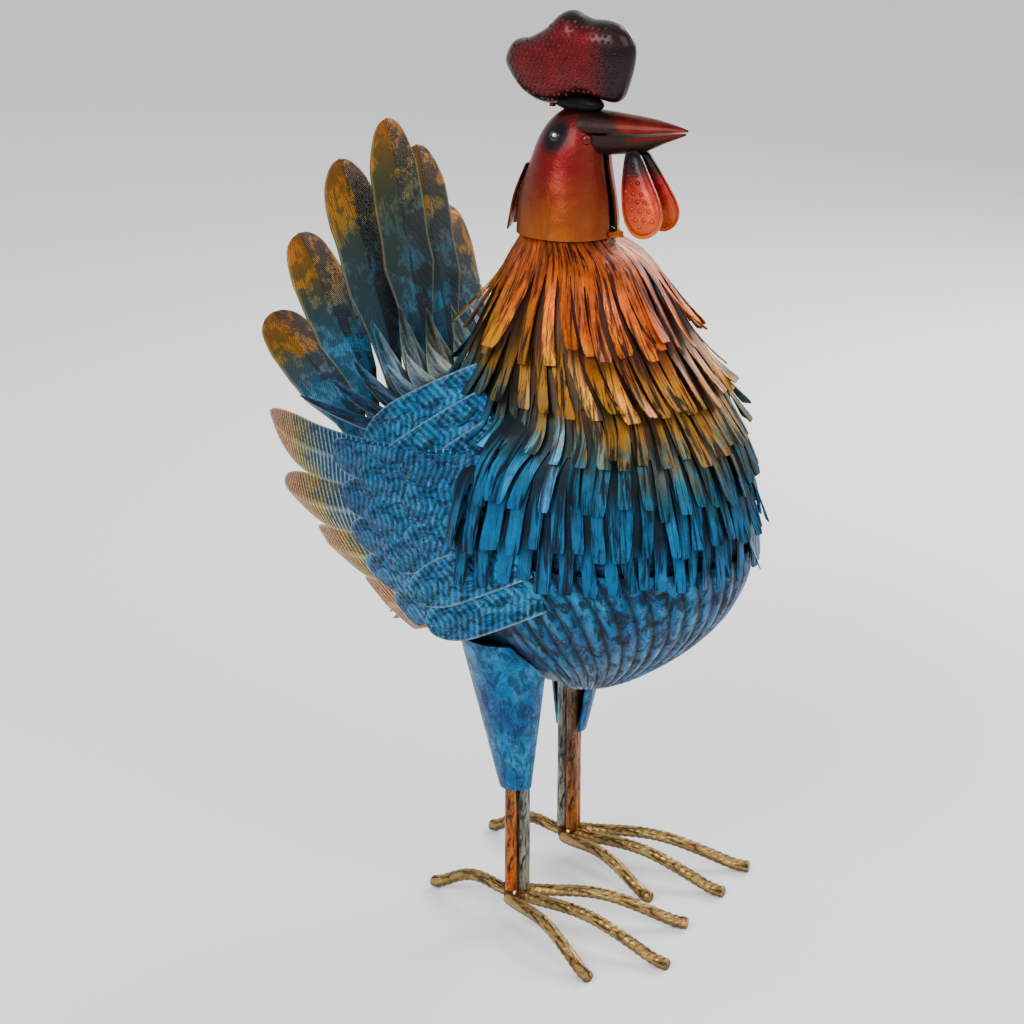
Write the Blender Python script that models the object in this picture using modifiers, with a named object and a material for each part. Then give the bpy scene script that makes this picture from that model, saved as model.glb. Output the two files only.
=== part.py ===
"""Rooster figure of painted sheet metal and bent rod, 36 cm high.

The bird stands on two feet of bent rod and faces -Y; its left side is +X and up is +Z.
The origin lies on the ground under the middle of the figure. Metres throughout.
Places on the bird are shares of its half length, half width and height.
"""

import math

import bmesh
import bpy
from mathutils import Vector

# Overall size
HEIGHT = 0.360
LENGTH = 0.220
WIDTH = 0.140

# Stock that the figure is cut from
FRINGE_SHEET = 0.0005
FEATHER_SHEET = 0.0009
CAP_SHEET = 0.0010
THIGH_SHEET = 0.0010
ROD_DIAMETER = 0.0052
STUD_DIAMETER = 0.0026
GAP = 0.0003

# Cut fringes of the neck and breast
FINGER_PITCH = 0.0112
FRINGE_PROUD = FRINGE_SHEET / 2 + GAP * 2.5
FRINGE_STEP = FRINGE_SHEET + GAP * 2
FRINGE_REACH = 2.45
FINGER_TAPER = 0.16
COLLAR_TIERS = 3
BREAST_TIERS = 3
BREAST_ANGLE = math.radians(74)
WING_ANGLE = math.radians(78)

# Feathers pressed from sheet
FEATHER_CREASE = 0.0012
TAIL_CREASE = 0.0014
TAIL_FEATHER_WIDTH = 0.0260
TAIL_BASE_WIDTH = 0.0097
TAIL_SWELL = 0.50
TAIL_LAYER = FEATHER_SHEET + TAIL_CREASE + GAP
COVER_LAYER = FEATHER_SHEET + FEATHER_CREASE
FEATHER_SEAT = FEATHER_SHEET / 2 + GAP * 2

# Head
HEAD_TURN = math.radians(14)
COMB_THICKNESS = 0.019
WATTLE_THICKNESS = 0.0055

# Legs and feet
THIGH_RADIUS = 0.0185
THIGH_SPLAY = 0.0050
ROD_SPREAD = 1.11
HOCK_RADIUS = ROD_DIAMETER / 2 * (1 + ROD_SPREAD) + THIGH_SHEET / 2 + GAP
THIGH_WRAP = math.radians(105)
THIGH_UP = 0.345
HOCK_UP = 0.160
ANKLE_HEIGHT = 0.0125
TOE_LANDING = 0.93
TOE_STATIONS = (0.0, 0.2, 0.4, 0.58, 0.72, 0.84, TOE_LANDING, 1.0)

# The body's rings, from under the neck down to the belly: height, front, back and half
# width, as shares. The first tier of fringe hangs from the foot of the neck, and one more
# tier from each of the first of these.
BODY_RINGS = (
    (0.739, 0.530, 0.062, 0.365),
    (0.682, 0.641, -0.011, 0.520),
    (0.629, 0.757, -0.068, 0.641),
    (0.589, 0.839, -0.131, 0.720),
    (0.547, 0.911, -0.369, 0.811),
    (0.492, 0.959, -0.490, 0.850),
    (0.452, 0.965, -0.516, 0.848),
    (0.416, 0.947, -0.512, 0.826),
    (0.380, 0.888, -0.492, 0.772),
    (0.349, 0.799, -0.441, 0.695),
    (0.322, 0.696, -0.310, 0.580),
    (0.293, 0.556, -0.093, 0.399),
    (0.270, 0.403, 0.194, 0.129),
)
BELLY_LOW = (0.266, 0.300)
BODY_SIDES = 28

# The head cap: height, centre forward of the neck's axis, half length and half width,
# where the last three are shares of the cap's rim radius.
CAP_AXIS = 0.245
CAP_RIM_RADIUS = 0.0200
CAP_RINGS = (
    (0.769, 0.00, 1.00, 0.98),
    (0.806, 0.00, 0.94, 0.88),
    (0.839, 0.04, 0.80, 0.75),
    (0.867, 0.10, 0.685, 0.625),
    (0.886, 0.175, 0.525, 0.45),
    (0.8985, 0.24, 0.30, 0.25),
)
CAP_TOP = (0.9028, 0.25)

# The neck inside the cap, from its top to its foot under the cap's rim: height, then front,
# back and half width in cap radii from the neck's axis.
NECK_TOP = (0.842, -0.083)
NECK_RINGS = (
    (0.833, 0.424, -0.616, 0.500),
    (0.806, 0.633, -0.776, 0.676),
    (0.768, 0.842, -0.842, 0.812),
)
CAP_SIDES = 20
SEAM_LEVELS = 3

# The comb's outline: forward of the neck's axis in cap radii, and height. Each stud stands
# under one of its points.
COMB_OUTLINE = (
    (-1.34, 0.945),
    (-1.16, 0.964),
    (-0.80, 0.970),
    (-0.45, 0.981),
    (-0.15, 0.996),
    (0.10, 1.000),
    (0.45, 0.993),
    (0.85, 0.992),
    (1.20, 0.984),
    (1.38, 0.965),
    (1.30, 0.935),
    (1.06, 0.910),
    (0.42, 0.914),
    (-0.36, 0.902),
    (-0.90, 0.911),
    (-1.22, 0.929),
)
COMB_STUDS = (("rear", 13), ("front", 12))

# Beak halves: forward of the neck's axis in cap radii, height of the mouth line, height of
# the ridge or keel, half width in cap radii. The base is cut to the cap's shape.
UPPER_BEAK = (
    (0.40, 0.880, 0.9012, 0.44),
    (1.50, 0.882, 0.898, 0.30),
    (2.10, 0.885, 0.894, 0.16),
    (2.47, 0.8865, 0.8895, 0.04),
)
LOWER_BEAK = (
    (0.40, 0.8765, 0.8515, 0.39),
    (1.50, 0.8785, 0.860, 0.27),
    (2.10, 0.8825, 0.874, 0.13),
    (2.43, 0.8848, 0.882, 0.035),
)

# Wattle outline: forward of the neck's axis in cap radii, and height.
WATTLE_OUTLINE = (
    (1.33, 0.8625),
    (1.56, 0.8630),
    (1.90, 0.834),
    (2.11, 0.813),
    (2.18, 0.798),
    (2.09, 0.784),
    (1.86, 0.776),
    (1.61, 0.778),
    (1.40, 0.792),
    (1.30, 0.815),
    (1.28, 0.840),
)

# Tail feathers, from the middle one outward: side, fore and height of the tip, side of the base.
TAIL_FEATHERS = (
    (0.000, -0.665, 0.852, 0.000),
    (0.300, -0.685, 0.815, 0.189),
    (0.575, -0.700, 0.743, 0.378),
    (0.755, -0.720, 0.670, 0.566),
)
TAIL_BASE_HEIGHT = 0.525

# Wing feathers from the top one down: root height on the body, where the line bends and
# where it ends, each of these as forward, side and up.
WING_FEATHERS = (
    (0.545, (-0.38, 1.155, 0.510), (-0.997, 0.500, 0.5120)),
    (0.499, (-0.33, 1.155, 0.460), (-0.805, 0.655, 0.4470)),
    (0.453, (-0.24, 1.115, 0.412), (-0.575, 0.660, 0.4050)),
    (0.408, (-0.10, 1.005, 0.365), (-0.260, 0.620, 0.3520)),
)
WING_NOTCH = 0.64
WING_COVER_SHARE = 0.52

# Saddle and rump feathers: angle from the tail in degrees, then the tip as forward, side, up.
SADDLE_FEATHERS = (
    (0, (-0.485, 0.00, 0.664)),
    (26, (-0.505, 0.30, 0.650)),
    (52, (-0.540, 0.56, 0.612)),
    (73, (-0.575, 0.79, 0.580)),
)
SADDLE_ROW = 4.37
RUMP_FEATHERS = (
    (13, (-0.470, 0.15, 0.318)),
    (39, (-0.420, 0.42, 0.315)),
    (62, (-0.300, 0.55, 0.318)),
)

# Belly plate: rows of the body's rings that it covers, each with the share of the breast's
# width that it reaches, then its raised shafts and their slant.
BELLY_ROWS = ((7.2, 1.0), (8, 0.98), (9, 0.90), (10, 0.82), (11, 0.74), (12, 0.66), (12.7, 0.60))
BELLY_SHAFTS = 6
BELLY_RIDGE = 0.0010
BELLY_SLANT = 0.05

# Feet: where the rods leave the ankle and where each toe ends, forward and side.
RIGHT_ANKLE = (0.252, -0.407)
LEFT_ANKLE = (0.024, 0.407)
RIGHT_TOES = {
    "outer_toe": (0.801, -0.714),
    "middle_toe": (0.934, -0.300),
    "inner_toe": (0.772, 0.157),
    "hind_toe": (-0.137, -0.486),
}
LEFT_TOES = {
    "inner_toe": (0.536, 0.243),
    "middle_toe": (0.697, 0.600),
    "outer_toe": (0.625, 0.965),
    "hind_toe": (-0.336, 0.300),
}

# Paint: colour, roughness and metallic
PAINT = {
    "hackle_orange": ((0.80, 0.27, 0.03), 0.35, 0.7),
    "breast_blue": ((0.05, 0.26, 0.50), 0.38, 0.7),
    "wing_blue": ((0.04, 0.30, 0.62), 0.38, 0.7),
    "tail_teal": ((0.16, 0.36, 0.38), 0.38, 0.7),
    "head_red": ((0.55, 0.04, 0.03), 0.25, 0.3),
    "comb_maroon": ((0.20, 0.01, 0.02), 0.18, 0.3),
    "beak_orange": ((0.62, 0.10, 0.03), 0.25, 0.3),
    "wattle_coral": ((0.66, 0.12, 0.06), 0.22, 0.3),
    "rod_gold": ((0.45, 0.33, 0.16), 0.40, 0.8),
}


def at(fore, side, up):
    """A place on the bird, given as shares of its half length, half width and height."""
    return Vector((side * WIDTH / 2, -fore * LENGTH / 2, up * HEIGHT))


def start_scene():
    for old in list(bpy.data.objects):
        bpy.data.objects.remove(old, do_unlink=True)
    collections = []
    for name in ("metal_rooster_figure", "cutters"):
        collection = bpy.data.collections.new(name)
        bpy.context.scene.collection.children.link(collection)
        collections.append(collection)
    return collections


PARTS, CUTTERS = start_scene()


def paint(obj, name):
    colour, roughness, metallic = PAINT[name]
    material = bpy.data.materials.new(f"{obj.name}_{name}")
    material.use_nodes = True
    shader = material.node_tree.nodes["Principled BSDF"]
    shader.inputs["Base Color"].default_value = (*colour, 1.0)
    shader.inputs["Roughness"].default_value = roughness
    shader.inputs["Metallic"].default_value = metallic
    obj.data.materials.append(material)


def add_object(name, data, paint_name):
    obj = bpy.data.objects.new(name, data)
    PARTS.objects.link(obj)
    paint(obj, paint_name)
    return obj


def add_mesh(name, bm, paint_name):
    bmesh.ops.remove_doubles(bm, verts=bm.verts, dist=1e-6)
    bmesh.ops.recalc_face_normals(bm, faces=bm.faces)
    mesh = bpy.data.meshes.new(name)
    bm.to_mesh(mesh)
    bm.free()
    mesh.shade_smooth()
    mesh.set_sharp_from_angle(angle=math.radians(40))
    return add_object(name, mesh, paint_name)


def add_sheet(name, bm, paint_name, thickness):
    """An open surface, given its thickness half to each side."""
    sheet = add_mesh(name, bm, paint_name)
    wall = sheet.modifiers.new("Sheet", "SOLIDIFY")
    wall.thickness = thickness
    wall.offset = 0.0
    return sheet


def add_grid_faces(bm, rows, closed=False):
    """Quads between rows of vertices that have the same number of vertices."""
    for upper, lower in zip(rows, rows[1:]):
        pairs = list(zip(upper, lower))
        if closed:
            pairs.append(pairs[0])
        for (a, b), (d, c) in zip(pairs, pairs[1:]):
            bm.faces.new((a, b, c, d))


def loft(name, rings, poles, paint_name):
    """A closed solid through closed rings, drawn together to a pole at each end."""
    bm = bmesh.new()
    rows = [[bm.verts.new(point) for point in ring] for ring in rings]
    add_grid_faces(bm, rows, closed=True)
    for pole, row in zip(poles, (rows[0], rows[-1])):
        if pole is None:
            bm.faces.new(row)
            continue
        tip = bm.verts.new(pole)
        for first, second in zip(row, row[1:] + row[:1]):
            bm.faces.new((tip, first, second))
    return add_mesh(name, bm, paint_name)


def neck_ring(up, front, back, half_width):
    """One of the neck's rings as shares of the figure's size, like the body's rings."""
    along = CAP_RIM_RADIUS / (LENGTH / 2)
    aside = CAP_RIM_RADIUS / (WIDTH / 2)
    return up, CAP_AXIS + front * along, CAP_AXIS + back * along, half_width * aside


NECK = tuple(neck_ring(*ring) for ring in NECK_RINGS)
RINGS = NECK[-1:] + BODY_RINGS


def ring_point(ring, angle):
    """A point of one of the body's rings; the angle runs from the breast to the left side."""
    up, front, back, half_width = ring
    middle = (front + back) / 2
    reach = (front - back) / 2
    return at(middle + reach * math.cos(angle), half_width * math.sin(angle), up)


def ring_normal(index, angle):
    """Outward direction of the body's skin at a ring."""
    step = math.radians(1)
    above = ring_point(RINGS[max(index - 1, 0)], angle)
    below = ring_point(RINGS[min(index + 1, len(RINGS) - 1)], angle)
    ring = RINGS[index]
    round_way = ring_point(ring, angle + step) - ring_point(ring, angle - step)
    return round_way.cross(above - below).normalized()


def skin(angle, row, proud=0.0):
    """A point over the body's skin; row 2.5 lies halfway between the rings 2 and 3."""
    index = min(int(row), len(RINGS) - 2)
    share = row - index
    point = ring_point(RINGS[index], angle).lerp(ring_point(RINGS[index + 1], angle), share)
    normal = ring_normal(index, angle).lerp(ring_normal(index + 1, angle), share)
    return point + normal.normalized() * proud


def in_body(x, y, up):
    """Whether a point lies inside the body, at a height given as a share."""
    for upper, lower in zip(RINGS, RINGS[1:]):
        if upper[0] >= up >= lower[0]:
            share = (upper[0] - up) / (upper[0] - lower[0])
            front, back, half_width = (
                a + (b - a) * share for a, b in zip(upper[1:], lower[1:])
            )
            ahead = (-y / (LENGTH / 2) - (front + back) / 2) / ((front - back) / 2)
            return math.hypot(ahead, x / (half_width * WIDTH / 2)) < 1
    return False


def underside(x, y):
    """Height of the body's underside over a point of the ground."""
    low, high = RINGS[-1][0], RINGS[len(RINGS) // 2][0]
    if not in_body(x, y, high):
        return high * HEIGHT
    for _ in range(24):
        up = (low + high) / 2
        if in_body(x, y, up):
            high = up
        else:
            low = up
    return low * HEIGHT


def bend(root, middle, tip, share):
    """A point of a quadratic curve."""
    return root.lerp(middle, share).lerp(middle.lerp(tip, share), share)


def make_body():
    angles = [math.tau * step / BODY_SIDES for step in range(BODY_SIDES)]
    rings = [[ring_point(ring, angle) for angle in angles] for ring in NECK + BODY_RINGS]
    top_fore = CAP_AXIS + NECK_TOP[1] * CAP_RIM_RADIUS / (LENGTH / 2)
    poles = (at(top_fore, 0, NECK_TOP[0]), at(BELLY_LOW[1], 0, BELLY_LOW[0]))
    loft("body_shell", rings, poles, "breast_blue")


def make_fringe(name, row, half_angle, paint_name):
    """A tier of fringe: a band round the body, cut into fingers along its lower edge."""
    whole_ring = half_angle >= math.pi
    step = 0.05
    ahead = (skin(step, row + 1) - skin(0, row + 1)).length / step
    beside = (skin(math.pi / 2 + step, row + 1) - skin(math.pi / 2, row + 1)).length / step
    fingers = round((ahead + beside) * half_angle / FINGER_PITCH)
    pitch = 2 * half_angle / fingers
    cuts = fingers if whole_ring else fingers + 1

    def place(finger, down):
        return skin(-half_angle + pitch * finger, row + down, FRINGE_PROUD + FRINGE_STEP * down)

    bm = bmesh.new()
    top, roots = ([bm.verts.new(place(cut, down)) for cut in range(cuts)] for down in (0, 1))
    add_grid_faces(bm, [top, roots], closed=whole_ring)
    for finger in range(fingers):
        last = roots[finger], roots[(finger + 1) % cuts]
        for down in (2, FRINGE_REACH):
            taper = FINGER_TAPER * (down - 1) / (FRINGE_REACH - 1)
            new = [bm.verts.new(place(finger + share, down)) for share in (taper, 1 - taper)]
            bm.faces.new((last[0], last[1], new[1], new[0]))
            last = new
    add_sheet(name, bm, paint_name, FRINGE_SHEET)


def make_fringes():
    for tier in range(COLLAR_TIERS):
        make_fringe(f"hackle_fringe_{tier + 1}", tier, math.pi, "hackle_orange")
    for tier in range(BREAST_TIERS):
        make_fringe(f"breast_fringe_{tier + 1}", COLLAR_TIERS + tier, BREAST_ANGLE, "breast_blue")


def feather_sheet(name, surface, feathers, paint_name, crease, notch, layer=0.0, blunt=False):
    """A sheet of feathers side by side, each creased along its own middle line.

    surface(across, share) gives a point of the sheet: across counts the feathers, so that
    2.5 is the middle line of the third, and share runs from the root to the tips. Notch is
    the share where the feathers part, and layer lifts the whole sheet outward.
    """

    def outward(across, share):
        along = surface(across, min(share + 0.02, 1)) - surface(across, max(share - 0.02, 0))
        beside = surface(across + 0.1, share) - surface(across - 0.1, share)
        return along.cross(beside).normalized()

    def lifted(across, share, width=1.0):
        """A point of an edge or a middle line; width draws an edge towards its middle line."""
        on_edge = across == int(across)
        raised = 0.0 if on_edge else crease * width * min(1, share / 0.3)
        return surface(across, share) + outward(across, share) * (layer + raised)

    rows = 4
    bm = bmesh.new()
    grid = []
    for step in range(rows + 1):
        share = notch * step / rows
        grid.append([bm.verts.new(lifted(side / 2, share)) for side in range(2 * feathers + 1)])
    add_grid_faces(bm, grid)
    for feather in range(feathers):
        middle = feather + 0.5
        last = grid[-1][2 * feather: 2 * feather + 3]
        for part in ((0.45, 0.8) if blunt else (0.5,)):
            share = notch + (1 - notch) * part
            width = math.sqrt(1 - part * part) if blunt else 1 - part ** 1.7
            spine = lifted(middle, share, width)
            left, right = (
                spine.lerp(lifted(feather + side, share), width) for side in (0, 1)
            )
            new = [bm.verts.new(point) for point in (left, spine, right)]
            add_grid_faces(bm, [last, new])
            last = new
        tip = bm.verts.new(lifted(middle, 1, 0))
        bm.faces.new((last[0], last[1], tip))
        bm.faces.new((last[1], last[2], tip))
    add_sheet(name, bm, paint_name, FEATHER_SHEET)


def body_row(up):
    """The row of the body's rings at a height."""
    for index, (upper, lower) in enumerate(zip(RINGS, RINGS[1:])):
        if upper[0] >= up >= lower[0]:
            return index + (upper[0] - up) / (upper[0] - lower[0])
    raise ValueError("height off the body")


def between(table, across):
    """Values between the entries of a table, and past its ends, where entry 0 is at 0.5."""
    index = max(0, min(len(table) - 2, math.floor(across - 0.5)))
    share = across - 0.5 - index
    return [a + (b - a) * share for a, b in zip(table[index], table[index + 1])]


def make_wings():
    """Each wing is a sheet of long feathers with a shorter cover of blunt ones over it."""
    table = [(root, *bend_at, *tip) for root, bend_at, tip in WING_FEATHERS]
    count = len(table)
    for side, word in ((-1, "right"), (1, "left")):
        def surface(across, share, side=side):
            from_top = across if side < 0 else count - across
            root_up, fore, out, up, tip_fore, tip_out, tip_up = between(table, from_top)
            angle = side * WING_ANGLE
            root = skin(angle, body_row(root_up), FEATHER_SEAT)
            return bend(root, at(fore, side * out, up), at(tip_fore, side * tip_out, tip_up), share)

        def cover(across, share):
            return surface(across, share * WING_COVER_SHARE)

        feather_sheet(f"wing_{word}", surface, count, "wing_blue", FEATHER_CREASE, WING_NOTCH)
        feather_sheet(
            f"wing_cover_{word}", cover, count, "wing_blue", FEATHER_CREASE / 2, 0.74,
            COVER_LAYER, blunt=True,
        )


def make_tail():
    """Seven long feathers in a fan, each pair a layer behind the next one inward."""
    base_row = body_row(TAIL_BASE_HEIGHT)
    for index in range(-3, 4):
        side = -1 if index < 0 else 1
        tip_side, tip_fore, tip_up, base_side = TAIL_FEATHERS[abs(index)]
        around = math.asin(base_side / RINGS[round(base_row)][3])
        angle = math.pi - side * around
        root = skin(angle, base_row, FEATHER_SEAT)
        tip = at(tip_fore, side * tip_side, tip_up)
        along = (tip - root).normalized()
        on_body = skin(angle - 0.1, base_row) - skin(angle + 0.1, base_row)
        facing = along.cross(Vector((0, -1, 0))).normalized()
        behind = TAIL_LAYER * abs(index) ** 1.3
        bm = bmesh.new()
        rows = []
        for share in (0.0, 0.1, 0.25, 0.5, 0.75, 0.87, 0.95, 0.99):
            swell = min(1, share / TAIL_SWELL) ** 2
            full = TAIL_BASE_WIDTH + (TAIL_FEATHER_WIDTH - TAIL_BASE_WIDTH) * swell
            rounding = math.sqrt(1 - max(0, (share - 0.8) / 0.2) ** 2)
            width = full * rounding / 2
            across = on_body.normalized().lerp(facing, min(1, share / 0.3)).normalized()
            forward = across.cross(along).normalized()
            back = behind * min(1, share / 0.1)
            spine = root.lerp(tip, share) - forward * back
            drop = forward * TAIL_CREASE * rounding
            points = (spine - across * width - drop, spine, spine + across * width - drop)
            rows.append([bm.verts.new(point) for point in points])
        add_grid_faces(bm, rows)
        end = bm.verts.new(tip - forward * behind)
        bm.faces.new((rows[-1][0], rows[-1][1], end))
        bm.faces.new((rows[-1][1], rows[-1][2], end))
        add_sheet(f"tail_feather_{index + 4}", bm, "tail_teal", FEATHER_SHEET)


def rear_table(feathers):
    """Angle and tip of every feather at the rear, left to right, from those of the left."""
    whole = []
    for degrees, (fore, side, up) in feathers:
        whole.append((degrees, fore, side, up))
        if degrees:
            whole.append((-degrees, fore, -side, up))
    return sorted(whole, reverse=True)


def make_saddle():
    """Pressed feathers from under the hackle, back and up on the foot of the tail."""
    table = rear_table(SADDLE_FEATHERS)

    def surface(across, share):
        degrees, *tip = between(table, across)
        angle = math.pi - math.radians(degrees)
        root = skin(angle, SADDLE_ROW, FEATHER_SEAT)
        middle = skin(angle, 5.09, 0.0035)
        return bend(root, middle, at(*tip), share)

    feather_sheet("saddle_feathers", surface, len(table), "tail_teal", FEATHER_CREASE, 0.66)


def make_rump():
    """Pressed feathers over the rump, pointing down behind the legs."""
    table = rear_table(RUMP_FEATHERS)

    def surface(across, share):
        degrees, *tip = between(table, across)
        row = 7.3 + 2.9 * share
        on_skin = skin(math.pi - math.radians(degrees), row, FEATHER_SEAT)
        return on_skin.lerp(at(*tip), share ** 2.5)

    feather_sheet("rump_feathers", surface, len(table), "wing_blue", FEATHER_CREASE, 0.72)


def make_belly():
    """The belly plate, pressed with slanting feather shafts."""
    bm = bmesh.new()
    grid = []
    for row, spread in BELLY_ROWS:
        line = []
        for step in range(-2 * BELLY_SHAFTS, 2 * BELLY_SHAFTS + 1):
            share = step / (2 * BELLY_SHAFTS)
            slant = BELLY_SLANT * (row - BELLY_ROWS[0][0]) * math.sin(math.pi * share)
            proud = FEATHER_SEAT + GAP + BELLY_RIDGE * (step % 2)
            line.append(bm.verts.new(skin((share - slant) * spread * BREAST_ANGLE, row, proud)))
        grid.append(line)
    add_grid_faces(bm, grid)
    add_sheet("belly_plate", bm, "breast_blue", FEATHER_SHEET)


def on_head(fore, side, up):
    """A place on the head, in metres ahead and left of the neck's axis, turned with the head."""
    turned_fore = fore * math.cos(HEAD_TURN) - side * math.sin(HEAD_TURN)
    turned_side = fore * math.sin(HEAD_TURN) + side * math.cos(HEAD_TURN)
    return Vector((turned_side, -CAP_AXIS * LENGTH / 2 - turned_fore, up * HEIGHT))


def cap_ring(up):
    """Centre, half length and half width of the cap at a height, in metres."""
    table = CAP_RINGS + ((*CAP_TOP, 0.0, 0.0),)
    for lower, upper in zip(table, table[1:]):
        if lower[0] <= up <= upper[0]:
            share = (up - lower[0]) / (upper[0] - lower[0])
            return [(a + (b - a) * share) * CAP_RIM_RADIUS for a, b in zip(lower[1:], upper[1:])]
    return [CAP_TOP[1] * CAP_RIM_RADIUS, 0.0, 0.0]


def cap_height(fore):
    """Height share of the cap's crown over its middle line."""
    low, high = CAP_RINGS[0][0], CAP_TOP[0]
    for _ in range(30):
        up = (low + high) / 2
        centre, half_length, _ = cap_ring(up)
        if abs(fore - centre) < half_length:
            low = up
        else:
            high = up
    return low


def cap_points(clear=0.0):
    """The cap's rings, from the rim up, and its crown, grown by a clearance."""
    rings = []
    for up, *shares in CAP_RINGS:
        centre, half_length, half_width = (share * CAP_RIM_RADIUS for share in shares)
        ring = []
        for step in range(CAP_SIDES):
            angle = math.tau * (step + 0.5) / CAP_SIDES
            ahead = centre + (half_length + clear) * math.cos(angle)
            beside = (half_width + clear) * math.sin(angle)
            ring.append(on_head(ahead, beside, up + clear / HEIGHT))
        rings.append(ring)
    crown = on_head(CAP_TOP[1] * CAP_RIM_RADIUS, 0, CAP_TOP[0] + clear / HEIGHT)
    return rings, crown


def make_cap():
    """The head: a pressed cap, open below, with its seam open under the beak."""
    bm = bmesh.new()
    rings, crown = cap_points()
    rows = [[bm.verts.new(point) for point in ring] for ring in rings]
    for level, (lower, upper) in enumerate(zip(rows, rows[1:])):
        for step in range(CAP_SIDES):
            if level < SEAM_LEVELS and step == CAP_SIDES - 1:
                continue
            after = (step + 1) % CAP_SIDES
            bm.faces.new((lower[step], lower[after], upper[after], upper[step]))
    top = bm.verts.new(crown)
    for first, second in zip(rows[-1], rows[-1][1:] + rows[-1][:1]):
        bm.faces.new((first, second, top))
    cap = add_sheet("head_cap", bm, "head_red", CAP_SHEET)
    cap.modifiers["Sheet"].offset = -1.0


def pillow(name, outline, shift, half_thickness, paint_name, flat_side=0):
    """A puffed shape over an outline on the head; flat_side -1 or 1 keeps only one half."""
    centre_fore = sum(point[0] for point in outline) / len(outline)
    centre_up = sum(point[1] for point in outline) / len(outline)
    steps = ((1.0, 0.10), (0.93, 0.52), (0.74, 0.82), (0.42, 1.0))

    def ring(scale, puff):
        places = []
        for fore, up in outline:
            ahead = (centre_fore + (fore - centre_fore) * scale) * CAP_RIM_RADIUS
            high = centre_up + (up - centre_up) * scale
            places.append(on_head(ahead, shift(ahead, high) + puff * half_thickness, high))
        return places

    def pole(puff):
        ahead = centre_fore * CAP_RIM_RADIUS
        return on_head(ahead, shift(ahead, centre_up) + puff * half_thickness, centre_up)

    if flat_side:
        rings = [ring(scale, puff * flat_side) for scale, puff in reversed(steps)]
        rings.append(ring(1.0, 0.0))
        loft(name, rings, (pole(flat_side * 1.04), None), paint_name)
        return
    rings = [ring(scale, puff) for scale, puff in reversed(steps)]
    rings += [ring(scale, -puff) for scale, puff in steps]
    loft(name, rings, (pole(1.04), pole(-1.04)), paint_name)


def make_comb():
    """Two puffed halves with their flanges face to face, on two short studs."""
    for side, word in ((-1, "right"), (1, "left")):
        def shift(ahead, high, side=side):
            return side * GAP / 2

        half = COMB_THICKNESS / 2 - GAP
        pillow(f"comb_{word}", COMB_OUTLINE, shift, half, "comb_maroon", side)
    radius = STUD_DIAMETER / 2
    for word, point in COMB_STUDS:
        fore = COMB_OUTLINE[point][0] * CAP_RIM_RADIUS
        comb_low = COMB_OUTLINE[point][1] * HEIGHT
        cap_top = max(cap_height(fore - radius), cap_height(fore + radius)) * HEIGHT
        low = cap_top + GAP
        high = comb_low - GAP
        bm = bmesh.new()
        bmesh.ops.create_cone(
            bm, cap_ends=True, segments=8, radius1=radius, radius2=radius, depth=high - low
        )
        place_on_head = on_head(fore, 0, 0)
        place_on_head.z = (low + high) / 2
        bmesh.ops.translate(bm, verts=bm.verts, vec=place_on_head)
        add_mesh(f"comb_stud_{word}", bm, "comb_maroon")


def make_beak():
    """Upper and lower beak: folded sheet with a ridge above and a keel below."""
    rings, crown = cap_points(GAP)
    cutter = loft("cap_clearance", rings, (None, crown), "head_red")
    PARTS.objects.unlink(cutter)
    CUTTERS.objects.link(cutter)
    cutter.hide_render = True
    cutter.display_type = "WIRE"
    for name, stations in (("beak_upper", UPPER_BEAK), ("beak_lower", LOWER_BEAK)):
        rings = []
        for fore, mouth, ridge, width in stations:
            half = width * CAP_RIM_RADIUS
            side_up = (mouth + ridge * 2) / 3
            corners = (
                (-half, mouth), (-half * 0.62, side_up), (0.0, ridge), (half * 0.62, side_up),
                (half, mouth), (half * 0.5, mouth), (0.0, mouth), (-half * 0.5, mouth),
            )
            rings.append([on_head(fore * CAP_RIM_RADIUS, side, up) for side, up in corners])
        beak = loft(name, rings, (None, None), "beak_orange")
        cut = beak.modifiers.new("Base", "BOOLEAN")
        cut.operation = "DIFFERENCE"
        cut.object = cutter


def make_wattles():
    """Two teardrops that hang from the lower beak and spread a little."""
    for side, word in ((-1, "right"), (1, "left")):
        def shift(ahead, high, side=side):
            spread = (WATTLE_OUTLINE[0][1] - high) * HEIGHT * 0.16
            return side * (WATTLE_THICKNESS / 2 + GAP + spread)

        pillow(f"wattle_{word}", WATTLE_OUTLINE, shift, WATTLE_THICKNESS / 2, "wattle_coral")


def make_leg(foot, word):
    """Shank of three rods side by side, welded along their length."""
    outward = math.copysign(1, foot.x)
    radius = ROD_DIAMETER / 2
    ring = radius * ROD_SPREAD
    outline = []
    for rod in range(3):
        rod_angle = math.tau * rod / 3 + (0 if outward > 0 else math.pi)
        for step in range(-3, 4):
            angle = rod_angle + math.radians(29) * step
            x = foot.x + ring * math.cos(rod_angle) + radius * math.cos(angle)
            y = foot.y + ring * math.sin(rod_angle) + radius * math.sin(angle)
            outline.append((x, y))
    top = min(underside(x, y) for x, y in outline) - GAP
    bm = bmesh.new()
    rows = [[bm.verts.new((x, y, height)) for x, y in outline] for height in (ANKLE_HEIGHT, top)]
    add_grid_faces(bm, rows, closed=True)
    bm.faces.new(rows[0])
    bm.faces.new(rows[1])
    add_mesh(f"leg_{word}", bm, "rod_gold")


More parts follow.
